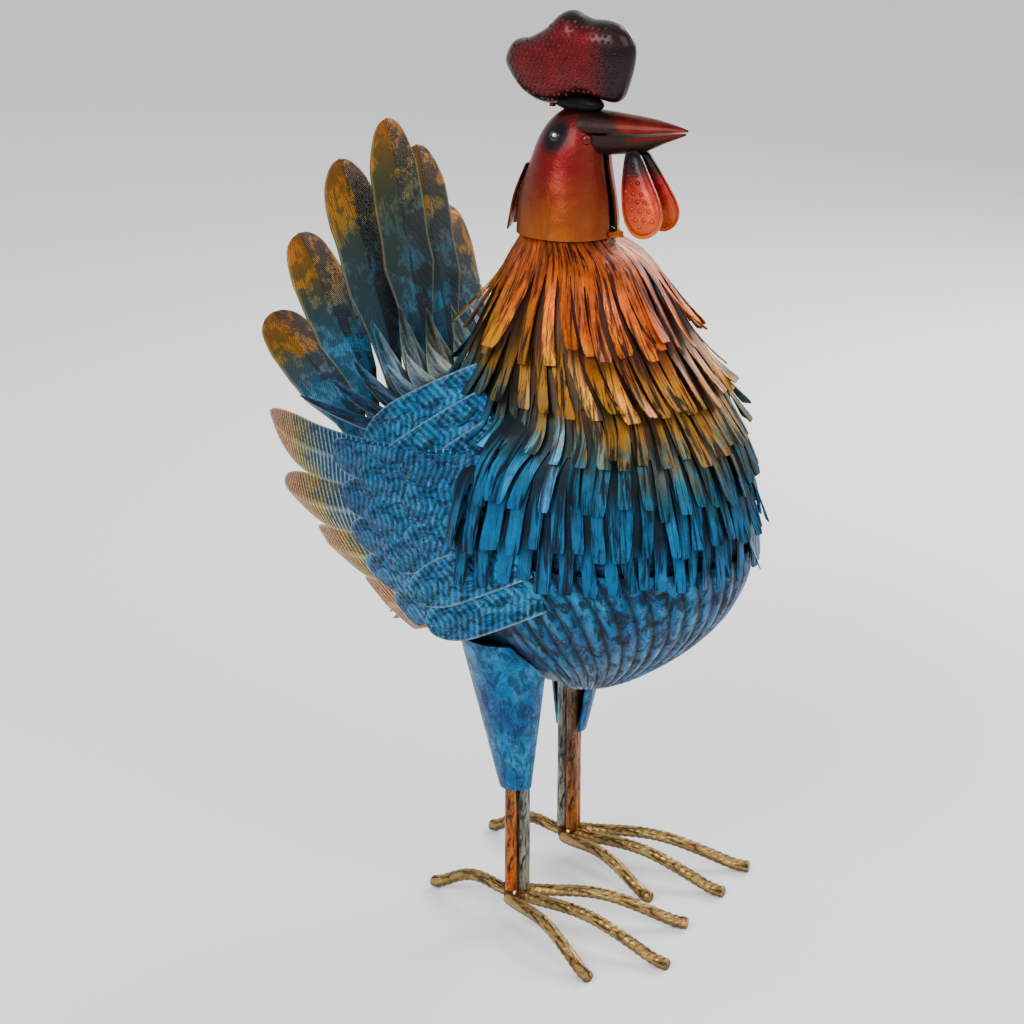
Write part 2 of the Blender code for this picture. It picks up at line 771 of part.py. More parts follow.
def make_thigh(foot, word):
    """Most of a cone of sheet round the top of the shank, open towards the other leg."""
    outward = math.copysign(1, foot.x)
    hock = HEIGHT * HOCK_UP
    crest = HEIGHT * THIGH_UP

    def on_cone(turn, height):
        share = (height - hock) / (crest - hock)
        radius = HOCK_RADIUS + (THIGH_RADIUS - HOCK_RADIUS) * share
        x = foot.x + outward * (THIGH_SPLAY * share + radius * math.cos(turn))
        return Vector((x, foot.y + radius * math.sin(turn), height))

    def top_of(turn):
        """The greatest height at which the cone is still clear of the body."""
        steps = 120
        for step in range(steps + 1):
            height = hock + (crest - hock) * step / steps
            point = on_cone(turn, height)
            if underside(point.x, point.y) - height < THIGH_SHEET + GAP * 3:
                return height
        return crest

    bm = bmesh.new()
    rows = []
    for share in (0.0, 0.5, 1.0):
        row = []
        for step in range(13):
            turn = THIGH_WRAP * (step / 6 - 1)
            row.append(bm.verts.new(on_cone(turn, hock + (top_of(turn) - hock) * share)))
        rows.append(row)
    add_grid_faces(bm, rows)
    add_sheet(f"thigh_{word}", bm, "wing_blue", THIGH_SHEET)


def make_toe(name, start, end):
    """A bent rod from the ankle to the ground, with a small flat where it rests."""
    radius = ROD_DIAMETER / 2
    low = radius * 0.9
    high = ANKLE_HEIGHT - radius - GAP
    curve = bpy.data.curves.new(name, "CURVE")
    curve.dimensions = "3D"
    curve.bevel_depth = radius
    curve.bevel_resolution = 2
    curve.use_fill_caps = True
    spline = curve.splines.new("POLY")
    spline.points.add(len(TOE_STATIONS) - 1)
    for share, point in zip(TOE_STATIONS, spline.points):
        place = start.lerp(end, share)
        arch = radius * math.sin(math.pi * min(1, share / TOE_LANDING)) ** 2
        lift = (high - low) * max(0, 1 - (share / TOE_LANDING) ** 2.6) + arch
        point.co = (place.x, place.y, low + lift, 1)
    guide = bpy.data.objects.new(name + "_guide", curve)
    PARTS.objects.link(guide)
    bpy.context.view_layer.update()
    evaluated = guide.evaluated_get(bpy.context.evaluated_depsgraph_get())
    bm = bmesh.new()
    bm.from_mesh(bpy.data.meshes.new_from_object(evaluated))
    bpy.data.objects.remove(guide)
    bmesh.ops.remove_doubles(bm, verts=bm.verts, dist=1e-6)
    everything = bm.verts[:] + bm.edges[:] + bm.faces[:]
    bmesh.ops.bisect_plane(
        bm, geom=everything, plane_co=(0, 0, 0), plane_no=(0, 0, 1), clear_inner=True
    )
    rim = [edge for edge in bm.edges if edge.is_boundary]
    bmesh.ops.contextual_create(bm, geom=rim)
    add_mesh(name, bm, "rod_gold")


def make_feet():
    """Legs, thighs and toes; the front toes leave the ankle side by side."""
    for word, ankle, toes in (("right", RIGHT_ANKLE, RIGHT_TOES), ("left", LEFT_ANKLE, LEFT_TOES)):
        foot = at(*ankle, 0)
        make_leg(foot, word)
        make_thigh(foot, word)
        ahead = (at(*toes["middle_toe"], 0) - foot).normalized()
        beside = Vector((-ahead.y, ahead.x, 0))
        if beside.x * foot.x < 0:
            beside.negate()
        pitch = ROD_DIAMETER + GAP
        starts = {
            "outer_toe": foot + ahead * ROD_DIAMETER * 0.1 + beside * pitch,
            "middle_toe": foot + ahead * ROD_DIAMETER * 0.2,
            "inner_toe": foot + ahead * ROD_DIAMETER * 0.1 - beside * pitch,
            "hind_toe": foot - ahead * ROD_DIAMETER * 0.85,
        }
        for toe, tip in toes.items():
            make_toe(f"{toe}_{word}", starts[toe], at(*tip, 0))


make_body()
make_fringes()
make_belly()
make_wings()
make_tail()
make_saddle()
make_rump()
make_cap()
make_comb()
make_beak()
make_wattles()
make_feet()
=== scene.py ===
# %% [markdown]
# # A rooster of painted sheet metal
#
# The real figure is cut, pressed and bent from thin steel sheet and rod, welded together,
# painted with metallic colours and rubbed dark in its hollows. The solids come from the packed
# model. This script gives every surface its fine shape and its finish.

import math
import random

import bpy
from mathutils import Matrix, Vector


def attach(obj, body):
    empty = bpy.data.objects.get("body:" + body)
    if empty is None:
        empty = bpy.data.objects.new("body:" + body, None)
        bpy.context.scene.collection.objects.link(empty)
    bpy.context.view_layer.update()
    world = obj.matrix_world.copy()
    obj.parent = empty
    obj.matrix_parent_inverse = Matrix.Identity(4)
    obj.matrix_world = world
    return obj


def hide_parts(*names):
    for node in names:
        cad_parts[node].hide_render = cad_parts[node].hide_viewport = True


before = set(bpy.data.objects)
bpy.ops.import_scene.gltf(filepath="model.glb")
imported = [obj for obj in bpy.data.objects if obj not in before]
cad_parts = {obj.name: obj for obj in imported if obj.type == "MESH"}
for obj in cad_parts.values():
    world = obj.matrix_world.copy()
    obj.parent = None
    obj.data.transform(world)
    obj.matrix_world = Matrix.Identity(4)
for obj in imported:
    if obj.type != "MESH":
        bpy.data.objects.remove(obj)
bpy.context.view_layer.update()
bpy.ops.object.select_all(action="DESELECT")

# %% [markdown]
# ## Camera
#
# The photograph was taken from the front right of the bird, a little above it, with a long
# lens. A camera is placed by the direction it looks from, its distance and the point it aims
# at. That is easier to adjust than three coordinates and three angles.

# %% Place the camera where the photographer stood
CAMERA_AZIMUTH = math.radians(45)
CAMERA_ELEVATION = math.radians(18.5)
CAMERA_DISTANCE = 1.1
CAMERA_TARGET = Vector((-0.0092, -0.0059, 0.1615))
LENS_MM = 97.9
SENSOR_MM = 36.0


def add_camera():
    away = Vector((
        -math.cos(CAMERA_AZIMUTH) * math.cos(CAMERA_ELEVATION),
        -math.sin(CAMERA_AZIMUTH) * math.cos(CAMERA_ELEVATION),
        math.sin(CAMERA_ELEVATION),
    ))
    bpy.ops.object.camera_add(location=CAMERA_TARGET + away * CAMERA_DISTANCE)
    camera = bpy.context.object
    camera.rotation_euler = away.to_track_quat("Z", "Y").to_euler()
    camera.data.sensor_width = SENSOR_MM
    camera.data.lens = LENS_MM
    bpy.context.scene.camera = camera
    return camera


print("the camera stands at", tuple(round(value, 3) for value in add_camera().location))

# %% [markdown]
# ## Light and floor
#
# The figure was photographed in a white tent: soft light from all sides with two large
# softboxes. Large area lights give varnished metal the long soft highlights that show its
# creases. The floor is plain and pale.

# %% Build the white tent
SOFTBOXES = (
    ("key_light", (-1.10, -0.30, 0.95), 0.7, 15.0),
    ("front_light", (-0.10, -1.20, 1.10), 0.8, 8.0),
    ("rim_light", (1.00, 0.10, 0.75), 0.6, 12.0),
)
TENT_GREY = 0.90
TENT_STRENGTH = 0.95
FLOOR_GREY = 0.94
FLOOR_SIZE = 12.0


def add_softbox(name, place, size, watts):
    bpy.ops.object.light_add(type="AREA", location=place)
    light = bpy.context.object
    light.name = name
    light.data.size = size
    light.data.energy = watts
    light.rotation_euler = (Vector(place) - CAMERA_TARGET).to_track_quat("Z", "Y").to_euler()


def add_floor():
    bpy.ops.mesh.primitive_plane_add(size=FLOOR_SIZE)
    floor = bpy.context.object
    floor.name = "studio_floor"
    pale = bpy.data.materials.new("pale_floor")
    pale.use_nodes = True
    shader = pale.node_tree.nodes["Principled BSDF"]
    shader.inputs["Base Color"].default_value = (FLOOR_GREY, FLOOR_GREY, FLOOR_GREY, 1)
    shader.inputs["Roughness"].default_value = 0.9
    floor.data.materials.append(pale)


def add_tent():
    world = bpy.data.worlds.new("white_tent")
    world.use_nodes = True
    background = world.node_tree.nodes["Background"]
    background.inputs["Color"].default_value = (TENT_GREY, TENT_GREY, TENT_GREY, 1)
    background.inputs["Strength"].default_value = TENT_STRENGTH
    bpy.context.scene.world = world


for softbox in SOFTBOXES:
    add_softbox(*softbox)
add_floor()
add_tent()
print("the tent has", len(SOFTBOXES), "softboxes")

# %% [markdown]
# ## Working in sheet metal
#
# A tinsmith cuts a flat pattern, presses it and bends it round the body. The pieces here are
# made the same way: a flat grid is cut, then every vertex is carried from the flat pattern to
# its place on the bird, and the sheet gets its thickness last. The flat pattern stays on the
# piece as its UV map, in metres, so that brush marks follow the metal. Two values go with each
# vertex: how near an edge it is, and how dark its paint is made there, which holds painted
# shade where other parts shade it, together with some colour of the piece's own.

# %% Cut and lay a flat pattern
SHEET = 0.0005
FEATHER_SHEET = 0.0009


def activate(piece):
    bpy.ops.object.select_all(action="DESELECT")
    piece.select_set(True)
    bpy.context.view_layer.objects.active = piece


def flat_grid(name, across, along):
    """A flat sheet from -1 to 1 both ways, with faces across and along."""
    bpy.ops.object.select_all(action="DESELECT")
    bpy.ops.mesh.primitive_grid_add(x_subdivisions=across, y_subdivisions=along, size=2)
    piece = bpy.context.object
    piece.name = name
    piece.data.name = name
    return piece


def cut_away(piece, waste):
    """Delete the faces whose middle is waste."""
    activate(piece)
    bpy.ops.object.mode_set(mode="EDIT")
    bpy.ops.mesh.select_mode(type="FACE")
    bpy.ops.mesh.select_all(action="DESELECT")
    bpy.ops.object.mode_set(mode="OBJECT")
    for face in piece.data.polygons:
        face.select = waste(face.center.x, face.center.y)
    bpy.ops.object.mode_set(mode="EDIT")
    bpy.ops.mesh.delete(type="FACE")
    bpy.ops.object.mode_set(mode="OBJECT")


def lay(piece, place):
    """Carry a flat piece to its place: place(x, y) gives a point, UV, edge, and painted shade with own
    colour.
    """
    mesh = piece.data
    laid = [place(vertex.co.x, vertex.co.y) for vertex in mesh.vertices]
    chart = mesh.uv_layers.active or mesh.uv_layers.new(name="Pattern")
    for loop in mesh.loops:
        chart.data[loop.index].uv = laid[loop.vertex_index][1]
    for kind, column in (("edge", 2), ("tone_and_shade", 3)):
        values = mesh.attributes.new(kind, "FLOAT", "POINT")
        values.data.foreach_set("value", [entry[column] for entry in laid])
    for vertex, entry in zip(mesh.vertices, laid):
        vertex.co = entry[0]
    mesh.update()


print("a flat pattern can be cut and laid")

# %% Weld, close, smooth and thicken a piece


def in_edit_mode(piece, *steps):
    """Select everything of a piece and run edit-mode steps on it."""
    activate(piece)
    bpy.ops.object.mode_set(mode="EDIT")
    bpy.ops.mesh.select_all(action="SELECT")
    for step in steps:
        step()
    bpy.ops.object.mode_set(mode="OBJECT")


def merge_doubles(piece):
    in_edit_mode(piece, lambda: bpy.ops.mesh.remove_doubles(threshold=0.00002))


def face_outwards(piece):
    in_edit_mode(piece, lambda: bpy.ops.mesh.normals_make_consistent(inside=False))


def close_ends(piece):
    """Put a face on each open end of a tube."""
    activate(piece)
    bpy.ops.object.mode_set(mode="EDIT")
    bpy.ops.mesh.select_mode(type="EDGE")
    bpy.ops.mesh.select_all(action="DESELECT")
    bpy.ops.mesh.select_non_manifold()
    bpy.ops.mesh.edge_face_add()
    bpy.ops.object.mode_set(mode="OBJECT")


def smooth(piece, degrees=38):
    activate(piece)
    bpy.ops.object.shade_smooth_by_angle(angle=math.radians(degrees))


def give_thickness(piece, thickness, offset=0.0, lining=0):
    """Thicken a sheet; a lining of 1 paints its inner side with the second material."""
    activate(piece)
    wall = piece.modifiers.new("Sheet", "SOLIDIFY")
    wall.thickness = thickness
    wall.offset = offset
    wall.material_offset = lining
    bpy.ops.object.modifier_apply(modifier="Sheet")


def finish_tube(tube, place, degrees):
    """Lay a grid round a tube, weld its seam and close its ends."""
    lay(tube, place)
    merge_doubles(tube)
    close_ends(tube)
    face_outwards(tube)
    smooth(tube, degrees)


def finish_sheet(sheet, place, thickness, degrees=38):
    """Lay a flat sheet and give it its thickness."""
    lay(sheet, place)
    give_thickness(sheet, thickness)
    smooth(sheet, degrees)


print("a laid piece can be welded, smoothed and thickened")

# %% Join, paint and hand over


def join(name, pieces):
    bpy.ops.object.select_all(action="DESELECT")
    for piece in pieces:
        piece.select_set(True)
    bpy.context.view_layer.objects.active = pieces[0]
    if len(pieces) > 1:
        bpy.ops.object.join()
    whole = bpy.context.view_layer.objects.active
    whole.name = name
    whole.data.name = name
    return whole


def paint_piece(piece, *paints):
    piece.data.materials.clear()
    for paint in paints:
        piece.data.materials.append(paint)


def hand_over(piece, paint, slot, *nodes):
    """Paint a finished piece, let it ride with the figure and stand for its CAD nodes."""
    activate(piece)
    bpy.ops.object.transform_apply(location=True, rotation=True, scale=True)
    if paint:
        paint_piece(piece, paint)
    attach(piece, "root")
    if nodes:
        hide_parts(*nodes)
    return piece


print("a finished piece can be handed over")

# %% Two curves for shaping


def ease(low, high, value):
    """0 at low, 1 at high and a gentle slope between them."""
    share = min(1.0, max(0.0, (value - low) / (high - low)))
    return share * share * (3 - 2 * share)


def spline(table, place):
    """Values on the smooth curve through the rows of a table."""
    place = min(max(place, 0.0), len(table) - 1.0)
    index = min(int(place), len(table) - 2)
    share = place - index
    before = table[max(index - 1, 0)]
    after = table[min(index + 2, len(table) - 1)]
    return [
        b + 0.5 * share * (c - a + share * (2 * a - 5 * b + 4 * c - d + share * (3 * (b - c) + d - a)))
        for a, b, c, d in zip(before, table[index], table[index + 1], after)
    ]


print("halfway up, the gentle slope is at", ease(0, 1, 0.5))

# %% [markdown]
# ## The body's skin
#
# Nearly everything on the bird lies on its pear-shaped body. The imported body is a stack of
# oval rings, so its vertices tell each ring's height, front, back and half width. A smooth
# curve through those numbers gives a skin without facets, and a place on it is named by an
# angle round the bird and a row of the stack.

# %% Measure the body's rings
HEIGHT = 0.360
LENGTH = 0.220
WIDTH = 0.140
NECK_ROWS = 2


def at(fore, side, up):
    """A place given as shares of half the length, half the width and the height."""
    return Vector((side * WIDTH / 2, -fore * LENGTH / 2, up * HEIGHT))


def measure_rings():
    levels = {}
    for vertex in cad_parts["body_shell"].data.vertices:
        levels.setdefault(round(vertex.co.z, 5), []).append(vertex.co)
    rings = []
    for up in sorted(levels, reverse=True):
        points = levels[up]
        if len({(round(p.x, 5), round(p.y, 5)) for p in points}) > 3:
            front = min(p.y for p in points)
            back = max(p.y for p in points)
            rings.append((up, front, back, max(p.x for p in points)))
    return rings


RINGS = measure_rings()
LAST_ROW = len(RINGS) - 1 - NECK_ROWS
print("the body has", len(RINGS), "rings and its last row is", LAST_ROW)

# %% Name places on the skin


def ring_point(angle, row):
    up, front, back, half = spline(RINGS, row + NECK_ROWS)
    middle = (front + back) / 2
    reach = (back - front) / 2
    return Vector((half * math.sin(angle), middle - reach * math.cos(angle), up))


def skin_normal(angle, row):
    around = ring_point(angle + 0.02, row) - ring_point(angle - 0.02, row)
    down = ring_point(angle, row + 0.1) - ring_point(angle, row - 0.1)
    return down.cross(around).normalized()


def skin(angle, row, proud=0.0):
    """A point over the skin; angle 0 is the breast and grows to the bird's left."""
    return ring_point(angle, row) + skin_normal(angle, row) * proud


def body_row(up):
    """The row of the stack at a height share."""
    heights = [ring[0] for ring in RINGS]
    for index in range(NECK_ROWS, len(heights) - 1):
        if heights[index] >= up * HEIGHT >= heights[index + 1]:
            share = (heights[index] - up * HEIGHT) / (heights[index] - heights[index + 1])
            return index - NECK_ROWS + share
    return 0.0


def underside(x, y):
    """Height of the body's underside over a place on the ground."""
    low, high = LAST_ROW, LAST_ROW / 2
    for _ in range(24):
        row = (low + high) / 2
        up, front, back, half = spline(RINGS, row + NECK_ROWS)
        ahead = (y - (front + back) / 2) / ((back - front) / 2)
        if math.hypot(ahead, x / half) < 1:
            high = row
        else:
            low = row
    return spline(RINGS, low + NECK_ROWS)[0]


print("the middle of the breast is at", tuple(round(value, 4) for value in skin(0, LAST_ROW / 2)))

# %% [markdown]
# ## Paint, part one: the tools
#
# Every finish here is metallic paint over steel, brushed while wet and rubbed dark. What the
# finishes share is built once as node groups that put out masks, and each paint then sets its
# own colours. Groups keep the paints short, and a change in a group shows on the whole bird.

# %% Add, link and mix nodes


def add_node(tree, kind, inputs=None, **settings):
    node = tree.nodes.new(kind)
    for name, value in settings.items():
        setattr(node, name, value)
    for name, value in (inputs or {}).items():
        if isinstance(value, bpy.types.NodeSocket):
            tree.links.new(value, node.inputs[name])
        else:
            node.inputs[name].default_value = value
    return node


def calculate(tree, operation, first, second=0.0):
    node = add_node(tree, "ShaderNodeMath", {0: first, 1: second}, operation=operation)
    return node.outputs[0]


def blend(tree, factor, first, second, mode="MIX"):
    node = add_node(tree, "ShaderNodeMix", {0: factor}, data_type="RGBA", blend_type=mode)
    for index, colour in ((6, first), (7, second)):
        if isinstance(colour, bpy.types.NodeSocket):
            tree.links.new(colour, node.inputs[index])
        else:
            node.inputs[index].default_value = (*colour, 1)
    return node.outputs[2]


def ramp(tree, factor, stops):
    """A colour ramp; stops are (place, colour) in rising order."""
    node = add_node(tree, "ShaderNodeValToRGB", {0: factor})
    elements = node.color_ramp.elements
    for element, (place, colour) in zip(elements, (stops[0], stops[-1])):
        element.position = place
        element.color = (*colour, 1)
    for place, colour in stops[1:-1]:
        elements.new(place).color = (*colour, 1)
    return node.outputs[0]


def scale_range(tree, value, low, high):
    node = add_node(tree, "ShaderNodeMapRange", {0: value, 1: low, 2: high}, clamp=True)
    return node.outputs[0]


print("nodes can be added and linked")

# %% Make and place node groups


def start_group(name, inputs, outputs):
    group = bpy.data.node_groups.new(name, "ShaderNodeTree")
    for socket, (kind, default) in inputs.items():
        made = group.interface.new_socket(socket, in_out="INPUT", socket_type=kind)
        if default is not None:
            made.default_value = default
    for socket, kind in outputs.items():
        group.interface.new_socket(socket, in_out="OUTPUT", socket_type=kind)
    entry = group.nodes.new("NodeGroupInput").outputs
    leave = group.nodes.new("NodeGroupOutput").inputs
    return group, entry, leave


def use_group(tree, group, **inputs):
    node = tree.nodes.new("ShaderNodeGroup")
    node.node_tree = group
    for name, value in inputs.items():
        socket = node.inputs[name.replace("_", " ").capitalize()]
        if isinstance(value, bpy.types.NodeSocket):
            tree.links.new(value, socket)
        else:
            socket.default_value = value
    return node.outputs


VALUE = "NodeSocketFloat"
print("groups can be made and placed")

# %% [markdown]
# ### Brush marks, patina and ribs
#
# Brush marks are noise that is squeezed across the piece and stretched along it. Patina is
# coarse noise over fine noise, as wax that stays in hollows. Herringbone ribs are a wave whose
# phase grows with the distance from the feather's tip and from its shaft. The press uses the
# same pitch and slant as the paint, so the painted ribs lie on the pressed ones.

# %% Build the brush marks


def make_brush_group():
    group, entry, leave = start_group(
        "brush_marks",
        {"Across": (VALUE, 1300.0), "Along": (VALUE, 55.0), "Low": (VALUE, 0.42), "High": (VALUE, 0.62)},
        {"Marks": VALUE},
    )
    chart = add_node(group, "ShaderNodeUVMap")
    stretch = add_node(group, "ShaderNodeCombineXYZ", {0: entry["Across"], 1: entry["Along"]})
    vector = add_node(
        group, "ShaderNodeVectorMath", {0: chart.outputs[0], 1: stretch.outputs[0]},
        operation="MULTIPLY",
    )
    coarse = add_node(
        group, "ShaderNodeTexNoise",
        {"Vector": vector.outputs[0], "Scale": 1.0, "Detail": 6.0, "Roughness": 0.68, "Distortion": 0.9},
    )
    marks = add_node(
        group, "ShaderNodeMapRange", {0: coarse.outputs[0], 1: entry["Low"], 2: entry["High"]}, clamp=True
    )
    group.links.new(marks.outputs[0], leave["Marks"])
    return group


BRUSH = make_brush_group()
print("made the group", BRUSH.name)

# %% Build the patina


def make_patina_group():
    group, entry, leave = start_group(
        "patina",
        {"Size": (VALUE, 90.0), "Low": (VALUE, 0.45), "High": (VALUE, 0.62)},
        {"Mask": VALUE, "Speckle": VALUE},
    )
    place = add_node(group, "ShaderNodeTexCoord").outputs["Object"]
    coarse = add_node(
        group, "ShaderNodeTexNoise",
        {"Vector": place, "Scale": entry["Size"], "Detail": 6.0, "Roughness": 0.66, "Distortion": 0.4},
    )
    mask = add_node(
        group, "ShaderNodeMapRange", {0: coarse.outputs[0], 1: entry["Low"], 2: entry["High"]}, clamp=True
    )
    fine = add_node(
        group, "ShaderNodeTexNoise", {"Vector": place, "Scale": 1100.0, "Detail": 3.0, "Roughness": 0.7}
    )
    speckle = scale_range(group, fine.outputs[0], 0.50, 0.62)
    group.links.new(mask.outputs[0], leave["Mask"])
    group.links.new(speckle, leave["Speckle"])
    return group


PATINA = make_patina_group()
print("made the group", PATINA.name)

# %% Build the ribs
WING_RIBS = {"pitch": 0.0029, "slant": 0.35}
COVER_RIBS = {"pitch": 0.0029, "slant": 0.5}
TAIL_RIBS = {"pitch": 0.0013, "slant": -1.5}


def make_rib_group():
    group, entry, leave = start_group(
        "herringbone_ribs",
        {"Pitch": (VALUE, 0.0029), "Slant": (VALUE, 0.35), "Sharpness": (VALUE, 0.55)},
        {"Rib": VALUE},
    )
    chart = add_node(group, "ShaderNodeUVMap")
    parts = add_node(group, "ShaderNodeSeparateXYZ", {0: chart.outputs[0]})
    aside = calculate(group, "MULTIPLY", calculate(group, "ABSOLUTE", parts.outputs[0]), entry["Slant"])
    along = calculate(group, "ADD", parts.outputs[1], aside)
    turns = calculate(group, "DIVIDE", along, entry["Pitch"])
    wave = calculate(group, "COSINE", calculate(group, "MULTIPLY", turns, math.tau))
    rib = add_node(
        group, "ShaderNodeMapRange", {0: wave, 1: entry["Sharpness"], 2: 1.0}, clamp=True
    )
    group.links.new(rib.outputs[0], leave["Rib"])
    return group


RIBS = make_rib_group()
print("made the group", RIBS.name)

# %% [markdown]
# ## Paint, part two: the feathers
#
# Each finish starts from the colours of the real paint, takes dark brush marks from a group,
# and ends in one metallic shader under thin varnish. The marks also drive roughness and a
# small bump, so the light breaks up on them.

# %% Name the colours and start a paint
INK = (0.004, 0.005, 0.007)
BLUE = (0.002, 0.065, 0.20)
SKY = (0.008, 0.17, 0.36)
SILVER = (0.26, 0.36, 0.42)
ORANGE = (0.74, 0.115, 0.0008)
GOLD = (0.66, 0.215, 0.002)
CREAM = (0.36, 0.30, 0.11)
SPECULAR_LEVEL = 0.2
VARNISH_ROUGHNESS = 0.16


def attribute(tree, name):
    return add_node(tree, "ShaderNodeAttribute", attribute_name=name).outputs["Fac"]


def place_parts(tree):
    """The sockets X, Y and Z of a place on the object."""
    place = add_node(tree, "ShaderNodeTexCoord").outputs["Object"]
    return add_node(tree, "ShaderNodeSeparateXYZ", {0: place}).outputs


def wander(tree, value, mask, amount):
    """Shift a value up and down by a mask, so that a border isn't straight."""
    centred = calculate(tree, "SUBTRACT", mask, 0.5)
    return calculate(tree, "ADD", value, calculate(tree, "MULTIPLY", centred, amount))


def times(tree, first, second):
    return calculate(tree, "MULTIPLY", first, second)


def rest_of(tree, value):
    return calculate(tree, "SUBTRACT", 1.0, value)


def start_paint(name):
    material = bpy.data.materials.new(name)
    material.use_nodes = True
    tree = material.node_tree
    return material, tree, tree.nodes["Principled BSDF"]


def end_paint(tree, shader, colour, rough, height=None, depth=0.0002, metallic=0.72, coat=0.05):
    tree.links.new(colour, shader.inputs["Base Color"])
    if isinstance(rough, bpy.types.NodeSocket):
        tree.links.new(rough, shader.inputs["Roughness"])
    else:
        shader.inputs["Roughness"].default_value = rough
    shader.inputs["Metallic"].default_value = metallic
    shader.inputs["Specular IOR Level"].default_value = SPECULAR_LEVEL
    shader.inputs["Coat Weight"].default_value = coat
    shader.inputs["Coat Roughness"].default_value = VARNISH_ROUGHNESS
    if height is not None:
        bump = add_node(tree, "ShaderNodeBump", {"Strength": 1.0, "Distance": depth, "Height": height})
        tree.links.new(bump.outputs[0], shader.inputs["Normal"])


def darken(tree, colour, amount, ink=INK):
    return blend(tree, amount, colour, ink)


def painted_edge_highlight(tree, colour, amount, highlight_colour, low=0.90, high=0.99):
    """Lighten the edge of a piece with a painted highlight, where the edge catches the light."""
    rim = scale_range(tree, attribute(tree, "edge"), low, high)
    return blend(tree, times(tree, rim, amount), colour, highlight_colour)


def marks_with_painted_shade(tree, brush, patina, wear):
    """Brush marks that fade under the patina and where painted shade falls; the paint turns dark there."""
    marks = times(tree, brush["Marks"], attribute(tree, "tone_and_shade"))
    return times(tree, marks, rest_of(tree, times(tree, patina["Mask"], wear)))


print("a paint can be started, darkened and ended")

# %% [markdown]
# ### Fringes' paint
#
# The collars run from orange at the head through gold to blue on the breast, and every finger
# has long brush streaks and a root darkened by patina and by painted shade from the tier above,
# and sides darkened by painted shade. One material serves all six tiers: a ramp over the
# height, which also slopes towards the tail, gives the colour, so it runs on from tier to tier.

# %% Mix the fringes' paint


def make_fringe_paint():
    material, tree, shader = start_paint("fringe_paint")
    brush = use_group(tree, BRUSH, across=560.0, along=45.0, low=0.43, high=0.54)
    streaks = use_group(tree, BRUSH, across=1500.0, along=70.0, low=0.40, high=0.66)
    patina = use_group(tree, PATINA, size=110.0, low=0.40, high=0.62)
    _, y, z = place_parts(tree)
    up = calculate(tree, "DIVIDE", z, HEIGHT)
    level = wander(tree, calculate(tree, "SUBTRACT", up, y), patina["Mask"], 0.030)
    base = ramp(tree, scale_range(tree, level, 0.40, 0.86), (
        (0.00, (0.004, 0.095, 0.26)), (0.44, (0.008, 0.14, 0.32)), (0.525, (0.020, 0.11, 0.16)),
        (0.575, (0.10, 0.11, 0.06)), (0.625, (0.42, 0.18, 0.008)), (0.70, GOLD),
        (0.77, ORANGE), (0.88, (0.56, 0.085, 0.0005)), (1.00, (0.34, 0.055, 0.001)),
    ))
    lit = blend(tree, times(tree, streaks["Marks"], 0.35), base, base, "SCREEN")
    # Where the marks fade, at the roots, the paint turns dark: painted shade and patina.
    marks = marks_with_painted_shade(tree, brush, patina, 0.45)
    colour = blend(tree, marks, darken(tree, base, 0.96), lit)
    # Painted shade: each finger is darker along its sides, where its neighbours shade it.
    rim = scale_range(tree, attribute(tree, "edge"), 0.80, 1.0)
    colour = darken(tree, colour, times(tree, rim, 0.55))
    rough = calculate(tree, "SUBTRACT", 0.50, times(tree, marks, 0.18))
    end_paint(tree, shader, colour, rough, height=marks, depth=0.00010)
    return material


FRINGE_PAINT = make_fringe_paint()
print("mixed", FRINGE_PAINT.name)

# %% [markdown]
# ### Blue paints
#
# Covers, thighs, belly and body share a cloudy blue with silver frost and dark brush marks. They
# differ only in how strong each effect is, so one function mixes them all.

# %% Mix the blue paints


def make_blue_paint(name, base=BLUE, light=SKY, silver=0.55, dark=0.85, ribbed=0.0, valleys=0.0):
    material, tree, shader = start_paint(name)
    brush = use_group(tree, BRUSH, across=230.0, along=150.0, low=0.42, high=0.54)
    patina = use_group(tree, PATINA, size=210.0, low=0.44, high=0.58)
    cloud = use_group(tree, PATINA, size=48.0, low=0.40, high=0.64)
    colour = blend(tree, cloud["Mask"], base, light)
    frost = times(tree, patina["Speckle"], patina["Mask"])
    colour = blend(tree, times(tree, frost, silver), colour, SILVER)
    darkening = times(tree, rest_of(tree, brush["Marks"]), dark)
    colour = darken(tree, colour, darkening)
    if ribbed:
        ribs = use_group(tree, RIBS, **COVER_RIBS, sharpness=-0.6)
        colour = blend(tree, times(tree, ribs["Rib"], 0.22), colour, SKY)
        colour = darken(tree, colour, times(tree, rest_of(tree, ribs["Rib"]), ribbed))
    if valleys:
        colour = darken(tree, colour, times(tree, rest_of(tree, attribute(tree, "tone_and_shade")), valleys))
    # Painted highlight along the edges.
    colour = painted_edge_highlight(tree, colour, 0.45, SILVER)
    rough = calculate(tree, "ADD", 0.34, times(tree, darkening, 0.2))
    end_paint(tree, shader, colour, rough, height=brush["Marks"], depth=0.00018)
    return material


BLUE_PAINT = make_blue_paint("blue_paint", silver=0.25, dark=0.6)
COVER_PAINT = make_blue_paint(
    "cover_paint", base=(0.003, 0.085, 0.25), light=(0.012, 0.21, 0.44), ribbed=0.55
)
BELLY_PAINT = make_blue_paint("belly_paint", silver=0.35, valleys=1.0)
# Nearly black blue: the body's dark metal together with painted shade in the gaps behind the fringes.
BODY_PAINT = make_blue_paint("body_paint", base=(0.001, 0.02, 0.06), light=(0.003, 0.05, 0.13), silver=0.1)
print("mixed", [paint.name for paint in (BLUE_PAINT, COVER_PAINT, BELLY_PAINT, BODY_PAINT)])

